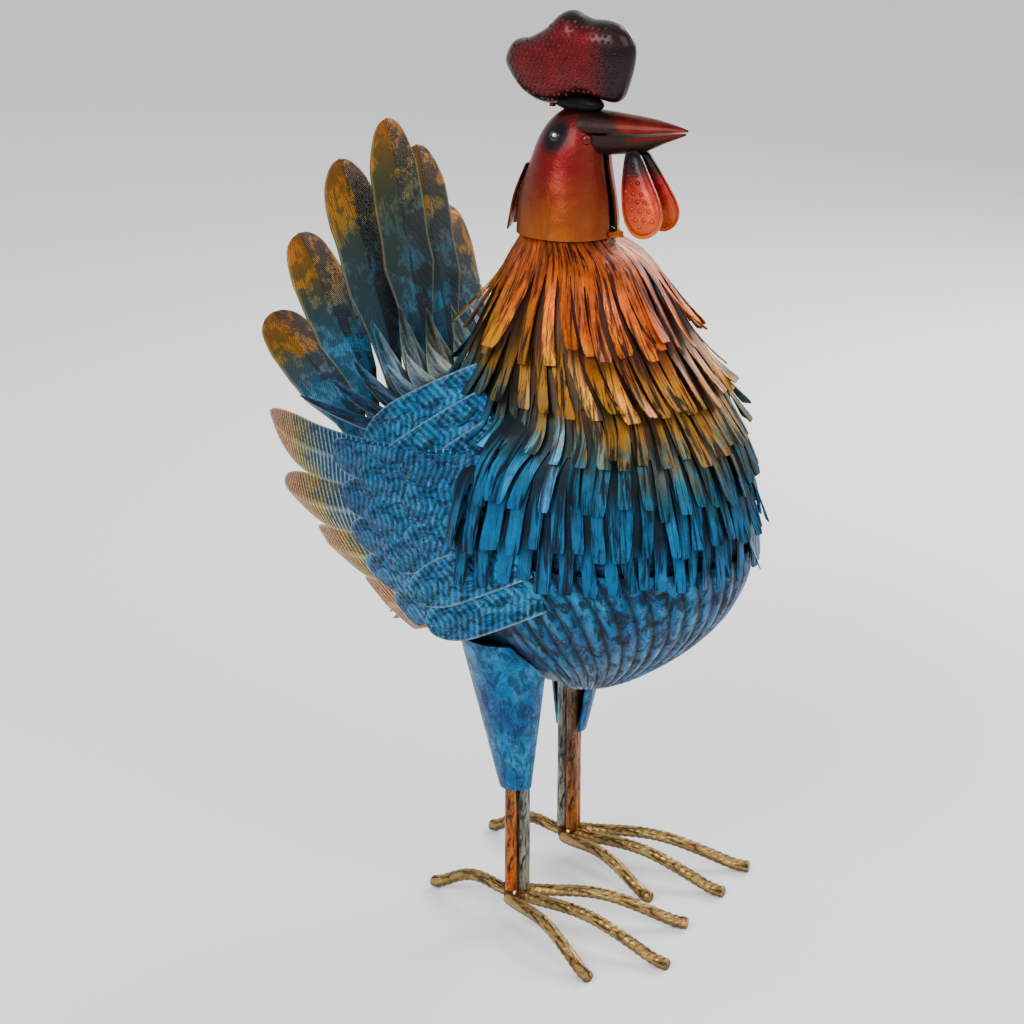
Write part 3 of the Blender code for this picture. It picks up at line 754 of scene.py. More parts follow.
# %% [markdown]
# ### Wings' and tail's paints
#
# The long feathers turn brown and gold towards their tips, and their ribs are rubbed bright.
# The distance from the tip is in the UV map, so a ramp over it colours every feather alike,
# whatever its length. The tail's blue also changes with height, behind black blotches.

# %% Mix the wings' paint


def feather_parts(tree):
    """Across and from-the-tip distances of a feather, in metres, from its UV map."""
    chart = add_node(tree, "ShaderNodeUVMap")
    parts = add_node(tree, "ShaderNodeSeparateXYZ", {0: chart.outputs[0]})
    return parts.outputs[0], parts.outputs[1]


def make_wing_paint():
    material, tree, shader = start_paint("wing_paint")
    _, from_tip = feather_parts(tree)
    patina = use_group(tree, PATINA, size=150.0, low=0.42, high=0.62)
    brush = use_group(tree, BRUSH, across=420.0, along=140.0, low=0.30, high=0.52)
    ribs = use_group(tree, RIBS, **WING_RIBS, sharpness=0.55)
    reach = scale_range(tree, wander(tree, from_tip, patina["Mask"], 0.010), 0.0, 0.098)
    base = ramp(tree, reach, (
        (0.00, (0.16, 0.050, 0.026)), (0.22, (0.20, 0.065, 0.024)), (0.36, (0.20, 0.080, 0.016)),
        (0.50, (0.10, 0.085, 0.02)), (0.66, (0.010, 0.05, 0.08)), (0.90, (0.002, 0.045, 0.14)),
    ))
    line = ramp(tree, reach, (
        (0.0, (0.66, 0.38, 0.24)), (0.30, (0.68, 0.42, 0.24)), (0.50, (0.54, 0.44, 0.18)),
        (0.70, (0.24, 0.36, 0.40)), (1.0, (0.06, 0.27, 0.44)),
    ))
    lit = times(tree, ribs["Rib"], brush["Marks"])
    shade = darken(tree, base, times(tree, patina["Mask"], 0.45))
    colour = blend(tree, lit, shade, line)
    # Painted highlight along the edges.
    colour = painted_edge_highlight(tree, colour, 0.35, line)
    colour = blend(tree, times(tree, attribute(tree, "tone_and_shade"), 0.4), colour, line)
    end_paint(tree, shader, colour, 0.36, height=ribs["Rib"], depth=0.00012)
    return material


WING_PAINT = make_wing_paint()
print("mixed", WING_PAINT.name)

# %% Mix the tail's paint


def make_tail_paint():
    material, tree, shader = start_paint("tail_paint")
    across, from_tip = feather_parts(tree)
    patina = use_group(tree, PATINA, size=90.0, low=0.41, high=0.50)
    hatch = use_group(tree, RIBS, **TAIL_RIBS, sharpness=-0.2)
    brush = use_group(tree, BRUSH, across=420.0, along=90.0, low=0.42, high=0.54)
    z = place_parts(tree)["Z"]
    up = wander(tree, calculate(tree, "DIVIDE", z, HEIGHT), patina["Mask"], 0.05)
    base = ramp(tree, scale_range(tree, up, 0.50, 0.80), (
        (0.0, (0.006, 0.24, 0.56)), (0.32, (0.006, 0.20, 0.42)), (0.52, (0.008, 0.11, 0.20)),
        (0.68, (0.012, 0.085, 0.12)), (1.0, (0.05, 0.09, 0.045)),
    ))
    reach = scale_range(tree, wander(tree, from_tip, patina["Mask"], 0.012), 0.0, 0.06)
    tip = ramp(tree, reach, (
        (0.0, (0.46, 0.13, 0.001)), (0.22, (0.44, 0.17, 0.001)), (0.42, (0.22, 0.15, 0.006)),
        (0.65, (0.05, 0.10, 0.05)),
    ))
    colour = blend(tree, scale_range(tree, reach, 0.70, 0.30), base, tip)
    # Painted highlight: one vane of each creased feather is paler and less dark, as the facet that faces the
    # light.
    pale = scale_range(tree, across, -0.0002, 0.0009)
    colour = blend(tree, times(tree, pale, 0.10), colour, CREAM)
    lines = times(tree, rest_of(tree, hatch["Rib"]), 0.75)
    dark = calculate(tree, "MAXIMUM", lines, rest_of(tree, brush["Marks"]))
    dark = calculate(tree, "MAXIMUM", dark, times(tree, patina["Mask"], 0.97))
    vane = rest_of(tree, times(tree, pale, 0.25))
    colour = darken(tree, colour, times(tree, times(tree, dark, vane), 0.95))
    # Painted highlight along the edges.
    colour = painted_edge_highlight(tree, colour, 0.35, CREAM)
    end_paint(tree, shader, colour, 0.40, height=hatch["Rib"], depth=0.00012)
    return material


TAIL_PAINT = make_tail_paint()
print("mixed", TAIL_PAINT.name)

# %% Mix the saddle's paint


def make_saddle_paint():
    material, tree, shader = start_paint("saddle_paint")
    patina = use_group(tree, PATINA, size=170.0, low=0.42, high=0.58)
    brush = use_group(tree, BRUSH, across=900.0, along=60.0, low=0.42, high=0.60)
    aside = calculate(tree, "ABSOLUTE", place_parts(tree)["X"])
    base = ramp(tree, scale_range(tree, aside, 0.0, 0.055), (
        (0.0, (0.07, 0.085, 0.045)), (0.35, (0.03, 0.09, 0.11)), (0.6, (0.006, 0.11, 0.22)), (1.0, BLUE),
    ))
    # Where the marks fade, at the slim feathers' roots, the paint turns dark: painted shade under the
    # feathers over them, and patina.
    marks = marks_with_painted_shade(tree, brush, patina, 0.6)
    lit = blend(tree, times(tree, patina["Speckle"], 0.18), base, SILVER)
    colour = blend(tree, marks, darken(tree, base, 0.95), lit)
    # Painted highlight along the edges.
    colour = painted_edge_highlight(tree, colour, 0.35, (0.22, 0.24, 0.17), 0.80, 0.97)
    end_paint(tree, shader, colour, 0.38, height=brush["Marks"], depth=0.00012)
    return material


SADDLE_PAINT = make_saddle_paint()
print("mixed", SADDLE_PAINT.name)

# %% [markdown]
# ## Body and belly
#
# The body is two pressed shells welded together. Little of it shows, only behind the fringes,
# so a plain smooth loft is enough: a grid rolled into a pear and closed at its poles. Its paint
# is nearly black, for its dark metal together with painted shade in the gaps between the fingers.
# The belly plate is pressed with slanting shafts like long narrow feathers.

# %% Roll the body
BODY_SIDES = 96
BODY_LEVELS = 72


def make_body():
    def place(x, y):
        angle = math.pi * x
        row = -NECK_ROWS + (LAST_ROW + NECK_ROWS) * (1 - y) / 2
        return ring_point(angle, row), (angle * 0.05, row * 0.02), 0.0, 1.0

    body = flat_grid("body", BODY_SIDES, BODY_LEVELS)
    finish_tube(body, place, 60)
    return hand_over(body, BODY_PAINT, "breast_blue", "body_shell")


print("the body has", len(make_body().data.polygons), "faces")

# %% Press the belly
BREAST_ANGLE = math.radians(74)
BELLY_TOP = 7.0
BELLY_END = 12.7
BELLY_RIDGES = 26
BELLY_PROUD = 0.0012
BELLY_RIDGE_HEIGHT = 0.0011


def make_belly():
    def place(x, y):
        down = (1 - y) / 2
        row = BELLY_TOP + (BELLY_END - BELLY_TOP) * down
        spread = 1.14 - 0.50 * down
        slant = 0.30 * down * (1 - 0.5 * abs(x))
        phase = (x - slant) * BELLY_RIDGES / 2 + 1.2 * down * down
        ridge = 1 - abs(2 * (phase - math.floor(phase)) - 1) ** 1.6
        fade = ease(0, 0.08, 1 - abs(x)) * ease(0.0, 0.06, 1 - down)
        angle = (x - 0.12 * slant) * spread * BREAST_ANGLE
        point = skin(angle, row, BELLY_PROUD + BELLY_RIDGE_HEIGHT * ridge * fade)
        return point, (x * 0.09, row * 0.012), 0.9 * ridge * fade, ridge

    belly = flat_grid("belly", 260, 60)
    finish_sheet(belly, place, FEATHER_SHEET * 0.6, 50)
    return hand_over(belly, BELLY_PAINT, "breast_blue", "belly_plate")


print("the belly plate has", len(make_belly().data.polygons), "faces")

# %% [markdown]
# ## Fringes
#
# Each fringe is a band of thin sheet whose lower edge is snipped into fingers with tin snips,
# then bent round the neck or the breast. No two fingers are alike: they lean, twist and lift.
# One flat grid makes a whole tier. The snips are columns of faces deleted from it, and a
# seeded random value per finger gives each its own lean, length and lift.

# %% Snip a tier and bend it round the bird
FINGER_PITCH = 0.0068
FRINGE_PROUD = 0.0010
FRINGE_LIFT = 0.0023
FRINGE_REACH = 2.45
FINGER_COLUMNS = 4
DOWN = (0.0, 0.12, 0.24, 0.34, 0.42, 0.50, 0.58, 0.66, 0.74, 0.82, 0.90, 0.965, 1.0)
LENGTHS = (0.88, 1.08)
WIDTHS = (0.80, 1.10)
TONES = (0.70, 1.0)
NOTCH_SHIFTS = (-0.08, 0.09)
LEAN_SPREAD = 0.42
TWIST_SPREAD = 0.6
TWIST_HEIGHT = 0.0013
STAGGER_HEIGHT = 0.0005
WING_EDGE = math.radians(66)
WING_EDGE_END = math.radians(80)
WING_CLEARANCE = 0.0065


def smooth_noise(rng, count, spread):
    """Random values that change gently from one finger to the next."""
    rough = [rng.gauss(0, spread) for _ in range(count)]
    return [(rough[i - 1] + rough[i] * 2 + rough[(i + 1) % count]) / 2.6 for i in range(count)]


def make_tier(name, tier_row, half_angle, seed, front=0.0, flare=0.0022, notch=0.46, dark=True):
    """A tier that hangs from a row; front adds rows to its length over the breast."""
    rng = random.Random(seed)
    tip_row = tier_row + FRINGE_REACH
    steps = [-half_angle + half_angle * i / 16 for i in range(33)]
    around = sum((skin(b, tip_row) - skin(a, tip_row)).length for a, b in zip(steps, steps[1:]))
    fingers = round(around / FINGER_PITCH)
    leans = smooth_noise(rng, fingers, LEAN_SPREAD)
    lengths = [rng.uniform(*LENGTHS) for _ in range(fingers)]
    widths = [rng.uniform(*WIDTHS) for _ in range(fingers)]
    lifts = [abs(rng.gauss(0, 1)) for _ in range(fingers)]
    twists = [rng.gauss(0, TWIST_SPREAD) for _ in range(fingers)]
    tones = [rng.uniform(*TONES) for _ in range(fingers)]
    notches = [notch + rng.uniform(*NOTCH_SHIFTS) for _ in range(fingers)]
    columns = fingers * FINGER_COLUMNS
    closed = half_angle >= math.pi
    metres_down = (skin(0, tier_row) - skin(0, tip_row)).length

    def waste(x, y):
        column = int((x + 1) / 2 * columns)
        finger = column // FINGER_COLUMNS
        in_gap = column % FINGER_COLUMNS == FINGER_COLUMNS - 1
        down = DOWN[int((1 - y) / 2 * (len(DOWN) - 1))]
        if not closed and finger == fingers - 1 and in_gap:
            return True
        return in_gap and down >= notches[finger] - 0.04

    def place(x, y):
        column = round((x + 1) / 2 * columns)
        finger, part = divmod(column, FINGER_COLUMNS)
        own = finger % fingers
        level = round((1 - y) / 2 * (len(DOWN) - 1))
        down = DOWN[level]
        free = max(0.0, (down - notches[own]) / (1 - notches[own]))
        width = (1 - (0.05 + 0.27 * min(1, free * 3))) * (1 + (widths[own] - 1) * free)
        tuck = (0.0, 0.04, 0.26)[max(0, level - len(DOWN) + 3)]
        share = (part / (FINGER_COLUMNS - 1) - 0.5) * (1 - tuck)
        across = finger + 0.5 + share * width + leans[own] * free
        if free > 0:
            down = notches[own] + (down - notches[own]) * lengths[own]
        angle = -half_angle + 2 * half_angle * across / fingers
        reach = FRINGE_REACH + front * max(0, math.cos(angle)) ** 2
        proud = FRINGE_PROUD + FRINGE_LIFT * down
        proud += flare * lifts[own] * free ** 1.6
        proud += TWIST_HEIGHT * twists[own] * share * 2 * free + STAGGER_HEIGHT * (finger % 3) * free
        if not closed:
            proud += WING_CLEARANCE * ease(WING_EDGE, WING_EDGE_END, abs(angle)) * ease(0.1, 0.6, down)
        point = skin(angle, tier_row + reach * down, proud)
        # A finger's root is darker: patina with painted shade under the tier above; each finger also gets its
        # own random brightness.
        tone_and_shade = tones[own] * (0.05 + 0.95 * ease(notch - 0.05, notch + 0.34, down)) if dark else tones[own]
        return point, (across * FINGER_PITCH, down * metres_down), abs(share) * 2 * free, tone_and_shade

    tier = flat_grid(name, columns, len(DOWN) - 1)
    cut_away(tier, waste)
    lay(tier, place)
    if closed:
        merge_doubles(tier)
    give_thickness(tier, SHEET)
    smooth(tier)
    return tier, fingers


print("a tier hangs over", FRINGE_REACH, "rows of the body")

# %% Hang the six tiers
TIERS = (
    ("hackle_fringe_1", 0, math.pi, dict(flare=0.0034, notch=0.44, dark=False)),
    ("hackle_fringe_2", 1, math.pi, dict(flare=0.0030, front=0.30)),
    ("hackle_fringe_3", 2, math.pi, dict(flare=0.0022, front=0.32)),
    ("breast_fringe_1", 3, math.radians(84), dict(flare=0.0014, front=0.18)),
    ("breast_fringe_2", 4, math.radians(87), dict(flare=0.0013)),
    ("breast_fringe_3", 5, math.radians(84), dict(flare=0.0013)),
)
for number, (node, tier_row, half_angle, habits) in enumerate(TIERS):
    tier, fingers = make_tier(f"tier_{number + 1}", tier_row, half_angle, 11 + number, **habits)
    slot = "hackle_orange" if node.startswith("hackle") else "breast_blue"
    hand_over(tier, FRINGE_PAINT, slot, node)
    print(tier.name, "has", fingers, "fingers")

# %% [markdown]
# ## Pressed feathers
#
# Wings, tail and saddle are pressed from thicker sheet. A pressed feather has a shaft down its
# middle, two vanes that fall away from it, and fine ribs across the vanes. One function makes
# any of them from a flat grid: it is told the feather's outline, its ribs and the surface that
# it lies on.

# %% Press a feather


def press_feather(name, surface, outline, length, width, crease, *, rib, pitch, slant,
                  layer=0.0, across_faces=14, along_faces=60, shade=None):
    """A feather on a surface.

    surface(side, share) gives a point: side runs from -1 to 1 between the feather's edges at
    full width, and share from root to tip. outline(share) is the feather's width there.
    """

    def outward(side, share):
        ahead = surface(side, min(share + 0.02, 1)) - surface(side, max(share - 0.02, 0))
        beside = surface(side + 0.1, share) - surface(side - 0.1, share)
        return ahead.cross(beside).normalized()

    def place(x, y):
        share = (y + 1) / 2
        full = outline(share)
        side = x * full
        from_tip = (1 - share) * length
        aside = side * width / 2
        wave = math.cos(math.tau * (from_tip + slant * abs(aside)) / pitch)
        raised = crease * (1 - abs(x)) * full * min(1, share / 0.3)
        raised += rib * max(0.0, wave) * (1 - abs(x) ** 8) * min(1, full * 2)
        point = surface(side, share) + outward(side, share) * (layer + raised)
        rim = max(abs(x), 1 - from_tip / 0.008 if full < 0.5 else 0)
        tone_and_shade = shade(share) if shade else ease(0.12, 0.0, abs(x))
        return point, (aside, from_tip), rim, tone_and_shade

    feather = flat_grid(name, across_faces, along_faces)
    lay(feather, place)
    merge_doubles(feather)
    give_thickness(feather, FEATHER_SHEET * 0.8)
    smooth(feather, 50)
    return feather


def pointed(notch, power=1.7):
    """Outline of a feather that is full width up to the notch and then runs to a point."""
    return lambda share: 1 - max(0, (share - notch) / (1 - notch)) ** power * 0.999


def blunt(notch):
    """Outline with a round end."""
    return lambda share: math.sqrt(max(0.0001, 1 - max(0, (share - notch) / (1 - notch)) ** 2))


def bend(root, middle, tip, share):
    return root.lerp(middle, share).lerp(middle.lerp(tip, share), share)


def between(table, across):
    """Values between the entries of a table, where entry 0 is at 0.5."""
    index = max(0, min(len(table) - 2, math.floor(across - 0.5)))
    share = across - 0.5 - index
    return [a + (b - a) * share for a, b in zip(table[index], table[index + 1])]


print("feathers can be pressed")

# %% [markdown]
# ### Wings
#
# Each wing is one plate pressed as four long flight feathers, with three rows of short blunt
# cover feathers over it. The flight feathers carry strong herringbone ribs. Over the wing's
# shoulder lie broad feathers that come slanting down from under the collar. All of them are
# laid on one curved surface, so that they can't drift apart when the wing is changed.

# %% Lay out the wings
WING_FEATHERS = (
    (0.545, (-0.38, 1.155, 0.510), (-0.997, 0.500, 0.5120)),
    (0.499, (-0.33, 1.155, 0.460), (-0.805, 0.655, 0.4470)),
    (0.453, (-0.24, 1.115, 0.412), (-0.575, 0.660, 0.4050)),
    (0.408, (-0.10, 1.005, 0.365), (-0.260, 0.620, 0.3520)),
)
WING_NOTCH = 0.64
WING_ANGLE = math.radians(78)
FEATHER_SEAT = FEATHER_SHEET / 2 + 0.0006
FEATHER_CREASE = 0.0012
COVER_ROWS = ((0.50, 0.0014), (0.37, 0.0022), (0.24, 0.0030))
COVER_COUNT = 5
COVER_HALF = 0.46
COVER_NOTCH = 0.70
COVER_CREASE = 0.0010
RIB_HEIGHT = 0.0004
COVER_RIB_HEIGHT = 0.0003


def wing_surface(side):
    """The wing's plate: feathers counted from the top, share from root to tip."""
    table = [(root, *middle, *tip) for root, middle, tip in WING_FEATHERS]

    def surface(across, share):
        root_up, fore, out, up, tip_fore, tip_out, tip_up = between(table, across)
        root = skin(side * WING_ANGLE, body_row(root_up), FEATHER_SEAT)
        return bend(root, at(fore, side * out, up), at(tip_fore, side * tip_out, tip_up), share)

    return surface


print("each wing has", len(WING_FEATHERS), "flight feathers and", len(COVER_ROWS), "rows of covers")

# %% Press the shoulder feathers
SHOULDERS = (
    (104, 0.625, (-0.18, 0.91, 0.545), 0.0175),
    (94, 0.605, (-0.13, 0.985, 0.497), 0.0190),
    (84, 0.580, (-0.03, 0.985, 0.468), 0.0190),
    (76, 0.520, (0.02, 0.985, 0.425), 0.0180),
    (66, 0.470, (0.10, 0.990, 0.400), 0.0190),
    (62, 0.432, (0.16, 0.950, 0.366), 0.0190),
)
SHOULDER_NOTCH = 0.6
SHOULDER_ARCH = 0.005
SHOULDER_RIB_HEIGHT = 0.00015
SHOULDER_RIB_PITCH = 0.0024


def make_shoulder(side, number):
    degrees, root_up, (fore, out, up), width = SHOULDERS[number]
    angle = side * math.radians(degrees)
    row = body_row(root_up)
    root = skin(angle, row, FEATHER_SEAT)
    tip = at(fore, side * out, up)
    lift = skin_normal(angle, row)
    middle = (root + tip) / 2 + lift * SHOULDER_ARCH
    along = (tip - root).normalized()
    face = (lift + Vector((side, 0, 0)) * 1.5).normalized()
    across = face.cross(along).normalized()

    def surface(x, share):
        return bend(root, middle, tip, share) + across * x * width / 2

    return press_feather(
        f"shoulder_{number}", surface, blunt(SHOULDER_NOTCH), (tip - root).length, width, COVER_CREASE,
        rib=SHOULDER_RIB_HEIGHT, pitch=SHOULDER_RIB_PITCH, slant=COVER_RIBS["slant"],
        across_faces=12, along_faces=50,
    )


print("each shoulder has", len(SHOULDERS), "feathers")

# %% Press the wings


def make_wing(side, word):
    plate = wing_surface(side)
    feathers = []
    covers = []
    for number in range(len(WING_FEATHERS)):
        def surface(x, share, middle=number + 0.5):
            return plate(middle - side * x / 2, share)

        length = (surface(0, 1) - surface(0, 0)).length
        width = (surface(1, 0.5) - surface(-1, 0.5)).length
        feathers.append(press_feather(
            f"flight_{word}_{number}", surface, pointed(WING_NOTCH), length, width,
            FEATHER_CREASE, rib=RIB_HEIGHT, along_faces=round(length / 0.0006), **WING_RIBS,
        ))
    for row, (reach, layer) in enumerate(COVER_ROWS):
        for number in range(COVER_COUNT + row % 2):
            middle = (number + 0.5 * ((row + 1) % 2)) * len(WING_FEATHERS) / COVER_COUNT
            own = reach * (1 + 0.05 * math.sin(5 * number + 3 * row))

            def cover(x, share, middle=middle, own=own):
                across = min(len(WING_FEATHERS) - 0.1, max(0.1, middle - side * x * COVER_HALF))
                return plate(across, share * own)

            length = (cover(0, 1) - cover(0, 0)).length
            width = (cover(1, 0.5) - cover(-1, 0.5)).length
            covers.append(press_feather(
                f"cover_{word}_{row}_{number}", cover, blunt(COVER_NOTCH), length, width, COVER_CREASE,
                layer=layer, rib=COVER_RIB_HEIGHT, across_faces=10, along_faces=44, **COVER_RIBS,
            ))
    wing = join(f"flight_feathers_{word}", feathers)
    hand_over(wing, WING_PAINT, "wing_blue", f"wing_{word}")
    over = join(f"cover_feathers_{word}", covers)
    hand_over(over, COVER_PAINT, "wing_blue", f"wing_cover_{word}")
    shoulder = join(f"shoulder_feathers_{word}", [make_shoulder(side, n) for n in range(len(SHOULDERS))])
    hand_over(shoulder, COVER_PAINT, "wing_blue")
    return wing


for side, word in ((-1, "right"), (1, "left")):
    print("wing", word, "has", len(make_wing(side, word).data.polygons), "faces")

# %% [markdown]
# ### Tail
#
# Seven long feathers stand in a fan. Each is creased along its shaft and hatched with fine
# oblique lines. The outer ones stand a layer behind the inner ones, so they can overlap.

# %% Press the tail
TAIL_FEATHERS = (
    (0.000, -0.665, 0.852, 0.000),
    (0.300, -0.685, 0.815, 0.189),
    (0.575, -0.700, 0.743, 0.378),
    (0.755, -0.720, 0.670, 0.566),
)
TAIL_BASE_HEIGHT = 0.525
TAIL_WIDTH = 0.0260
TAIL_BASE_WIDTH = 0.0097
TAIL_SWELL = 0.50
TAIL_CREASE = 0.0014
TAIL_RIB_HEIGHT = 0.00012
TAIL_LAYER = FEATHER_SHEET + TAIL_CREASE + 0.0003


def make_tail_feather(index):
    side = -1 if index < 0 else 1
    tip_side, tip_fore, tip_up, base_side = TAIL_FEATHERS[abs(index)]
    base_row = body_row(TAIL_BASE_HEIGHT)
    half = RINGS[round(base_row) + NECK_ROWS][3] / (WIDTH / 2)
    angle = math.pi - side * math.asin(base_side / half)
    root = skin(angle, base_row, FEATHER_SEAT)
    tip = at(tip_fore, side * tip_side, tip_up)
    along = (tip - root).normalized()
    on_body = (skin(angle - 0.1, base_row) - skin(angle + 0.1, base_row)).normalized()
    facing = along.cross(Vector((0, -1, 0))).normalized()
    behind = TAIL_LAYER * abs(index) ** 1.3
    wobble = random.Random(40 + index).uniform(0, 6)

    def surface(x, share):
        swell = min(1, share / TAIL_SWELL) ** 2
        full = TAIL_BASE_WIDTH + (TAIL_WIDTH - TAIL_BASE_WIDTH) * swell
        across = on_body.lerp(facing, min(1, share / 0.3)).normalized()
        forward = across.cross(along).normalized()
        back = behind * min(1, share / 0.1)
        dent = 0.0006 * math.sin(7 * share + wobble + x)
        return root.lerp(tip, share) - forward * (back + TAIL_CREASE + dent) - across * x * full / 2

    def outline(share):
        round_end = math.sqrt(max(0.0004, 1 - (max(0, share - 0.80) / 0.20) ** 2))
        return round_end * (1 - 0.05 * max(0, math.sin(19 * share + wobble)) * ease(0.35, 0.6, share))

    feather = press_feather(
        f"tail_{index + 4}", surface, outline, (tip - root).length, TAIL_WIDTH, TAIL_CREASE,
        rib=TAIL_RIB_HEIGHT, across_faces=18, along_faces=120, **TAIL_RIBS,
    )
    return hand_over(feather, TAIL_PAINT, "tail_teal", f"tail_feather_{index + 4}")


for index in range(-3, 4):
    print("made tail feather", index + 4, "as", make_tail_feather(index).name)

# %% [markdown]
# ### Saddle and rump
#
# A plate of narrow feathers covers the foot of the tail, and another hangs over the rump. The
# real saddle shows about a dozen slim feathers in two layers, so each CAD plate becomes many
# slim feathers that fan out between the plate's own directions.

# %% Fan slim feathers over a plate
SLIM_CREASE = 0.0013
SLIM_RIB_HEIGHT = 0.0001
SLIM_RIBS = {"pitch": 0.0016, "slant": -1.2}


def rear_table(feathers):
    """The plate's directions on both sides, from the bird's left to its right."""
    whole = []
    for degrees, (fore, side, up) in feathers:
        whole.append((degrees, fore, side, up))
        if degrees:
            whole.append((-degrees, fore, -side, up))
    return sorted(whole, reverse=True)


def make_fan(name, plate, count, layers, notch, seed, paint, slot, node):
    """Slim feathers spread over a plate; layers are (share of the length, raise, number)."""
    rng = random.Random(seed)
    feathers = []
    for length_share, raised, number in layers:
        for index in range(number):
            middle = count * (index + 0.5) / number + rng.uniform(-0.08, 0.08)
            reach = length_share * rng.uniform(0.92, 1.0)
            half = count / number * 0.52

            def surface(x, share, middle=middle, reach=reach, half=half):
                return plate(middle + x * half, share * reach)

            length = (surface(0, 1) - surface(0, 0)).length
            width = (surface(1, 0.6) - surface(-1, 0.6)).length
            # The shade value marks painted shade at each slim feather's root, under the feathers over it.
            feathers.append(press_feather(
                f"{name}_{index}", surface, pointed(notch, 1.5), length, width, SLIM_CREASE,
                layer=raised + rng.uniform(0, 0.0004), rib=SLIM_RIB_HEIGHT, across_faces=8, along_faces=36,
                shade=lambda share: 0.15 + 0.85 * ease(0.1, 0.5, share), **SLIM_RIBS,
            ))
    return hand_over(join(name, feathers), paint, slot, node)


print("a plate can be fanned out into slim feathers")

# %% Press the saddle
SADDLE_FEATHERS = (
    (0, (-0.485, 0.00, 0.664)),
    (26, (-0.505, 0.30, 0.650)),
    (52, (-0.540, 0.56, 0.612)),
    (73, (-0.575, 0.79, 0.580)),
)
SADDLE_ROW = 4.37
SADDLE_MIDDLE_ROW = 5.09
SADDLE_ARCH = 0.0035
SADDLE_LAYERS = ((1.0, 0.0, 11), (0.74, 0.0022, 12))


def make_saddle():
    table = rear_table(SADDLE_FEATHERS)

    def plate(across, share):
        degrees, *tip = between(table, across)
        angle = math.pi - math.radians(degrees)
        root = skin(angle, SADDLE_ROW, FEATHER_SEAT)
        return bend(root, skin(angle, SADDLE_MIDDLE_ROW, SADDLE_ARCH), at(*tip), share)

    return make_fan(
        "saddle", plate, len(table), SADDLE_LAYERS, 0.5, 5, SADDLE_PAINT, "tail_teal", "saddle_feathers"
    )


print("saddle has", len(make_saddle().data.polygons), "faces")

# %% Press the rump
RUMP_FEATHERS = (
    (13, (-0.470, 0.15, 0.318)),
    (39, (-0.420, 0.42, 0.315)),
    (62, (-0.300, 0.55, 0.318)),
)
RUMP_TOP_ROW = 7.3
RUMP_ROWS = 2.9
RUMP_LAYERS = ((1.0, 0.0, 9),)


def make_rump():
    table = rear_table(RUMP_FEATHERS)

    def plate(across, share):
        degrees, *tip = between(table, across)
        on_skin = skin(math.pi - math.radians(degrees), RUMP_TOP_ROW + RUMP_ROWS * share, FEATHER_SEAT)
        return on_skin.lerp(at(*tip), share ** 2.5)

    return make_fan(
        "rump", plate, len(table), RUMP_LAYERS, 0.6, 6, COVER_PAINT, "wing_blue", "rump_feathers"
    )


print("rump has", len(make_rump().data.polygons), "faces")

# %% [markdown]
# ## Head
#
# The head is a cap spun from sheet and pressed oval, open under the beak. It was sprayed
# crimson, then orange from below, and its eyes were sprayed on as soft dark spots. Everything
# on the head is placed in its own directions: forward, aside and up from the neck's axis,
# turned a little to the bird's left.

# %% Mix the head's paint
CAP_AXIS = 0.245
CAP_RADIUS = 0.0200
HEAD_TURN = math.radians(14)
EYE_FORE = 0.0002
EYE_SIDE = 0.0109
EYE_UP = 0.3147


def head_parts(tree):
    """Forward and sideways distances from the neck's axis, turned with the head."""
    place = add_node(tree, "ShaderNodeTexCoord").outputs["Object"]
    axis = (0.0, -CAP_AXIS * LENGTH / 2, 0.0)
    offset = add_node(tree, "ShaderNodeVectorMath", {0: place, 1: axis}, operation="SUBTRACT").outputs[0]
    found = []
    for direction in (
        (math.sin(HEAD_TURN), -math.cos(HEAD_TURN), 0.0), (math.cos(HEAD_TURN), math.sin(HEAD_TURN), 0.0)
    ):
        node = add_node(tree, "ShaderNodeVectorMath", {0: offset, 1: direction}, operation="DOT_PRODUCT")
        found.append(node.outputs["Value"])
    return found


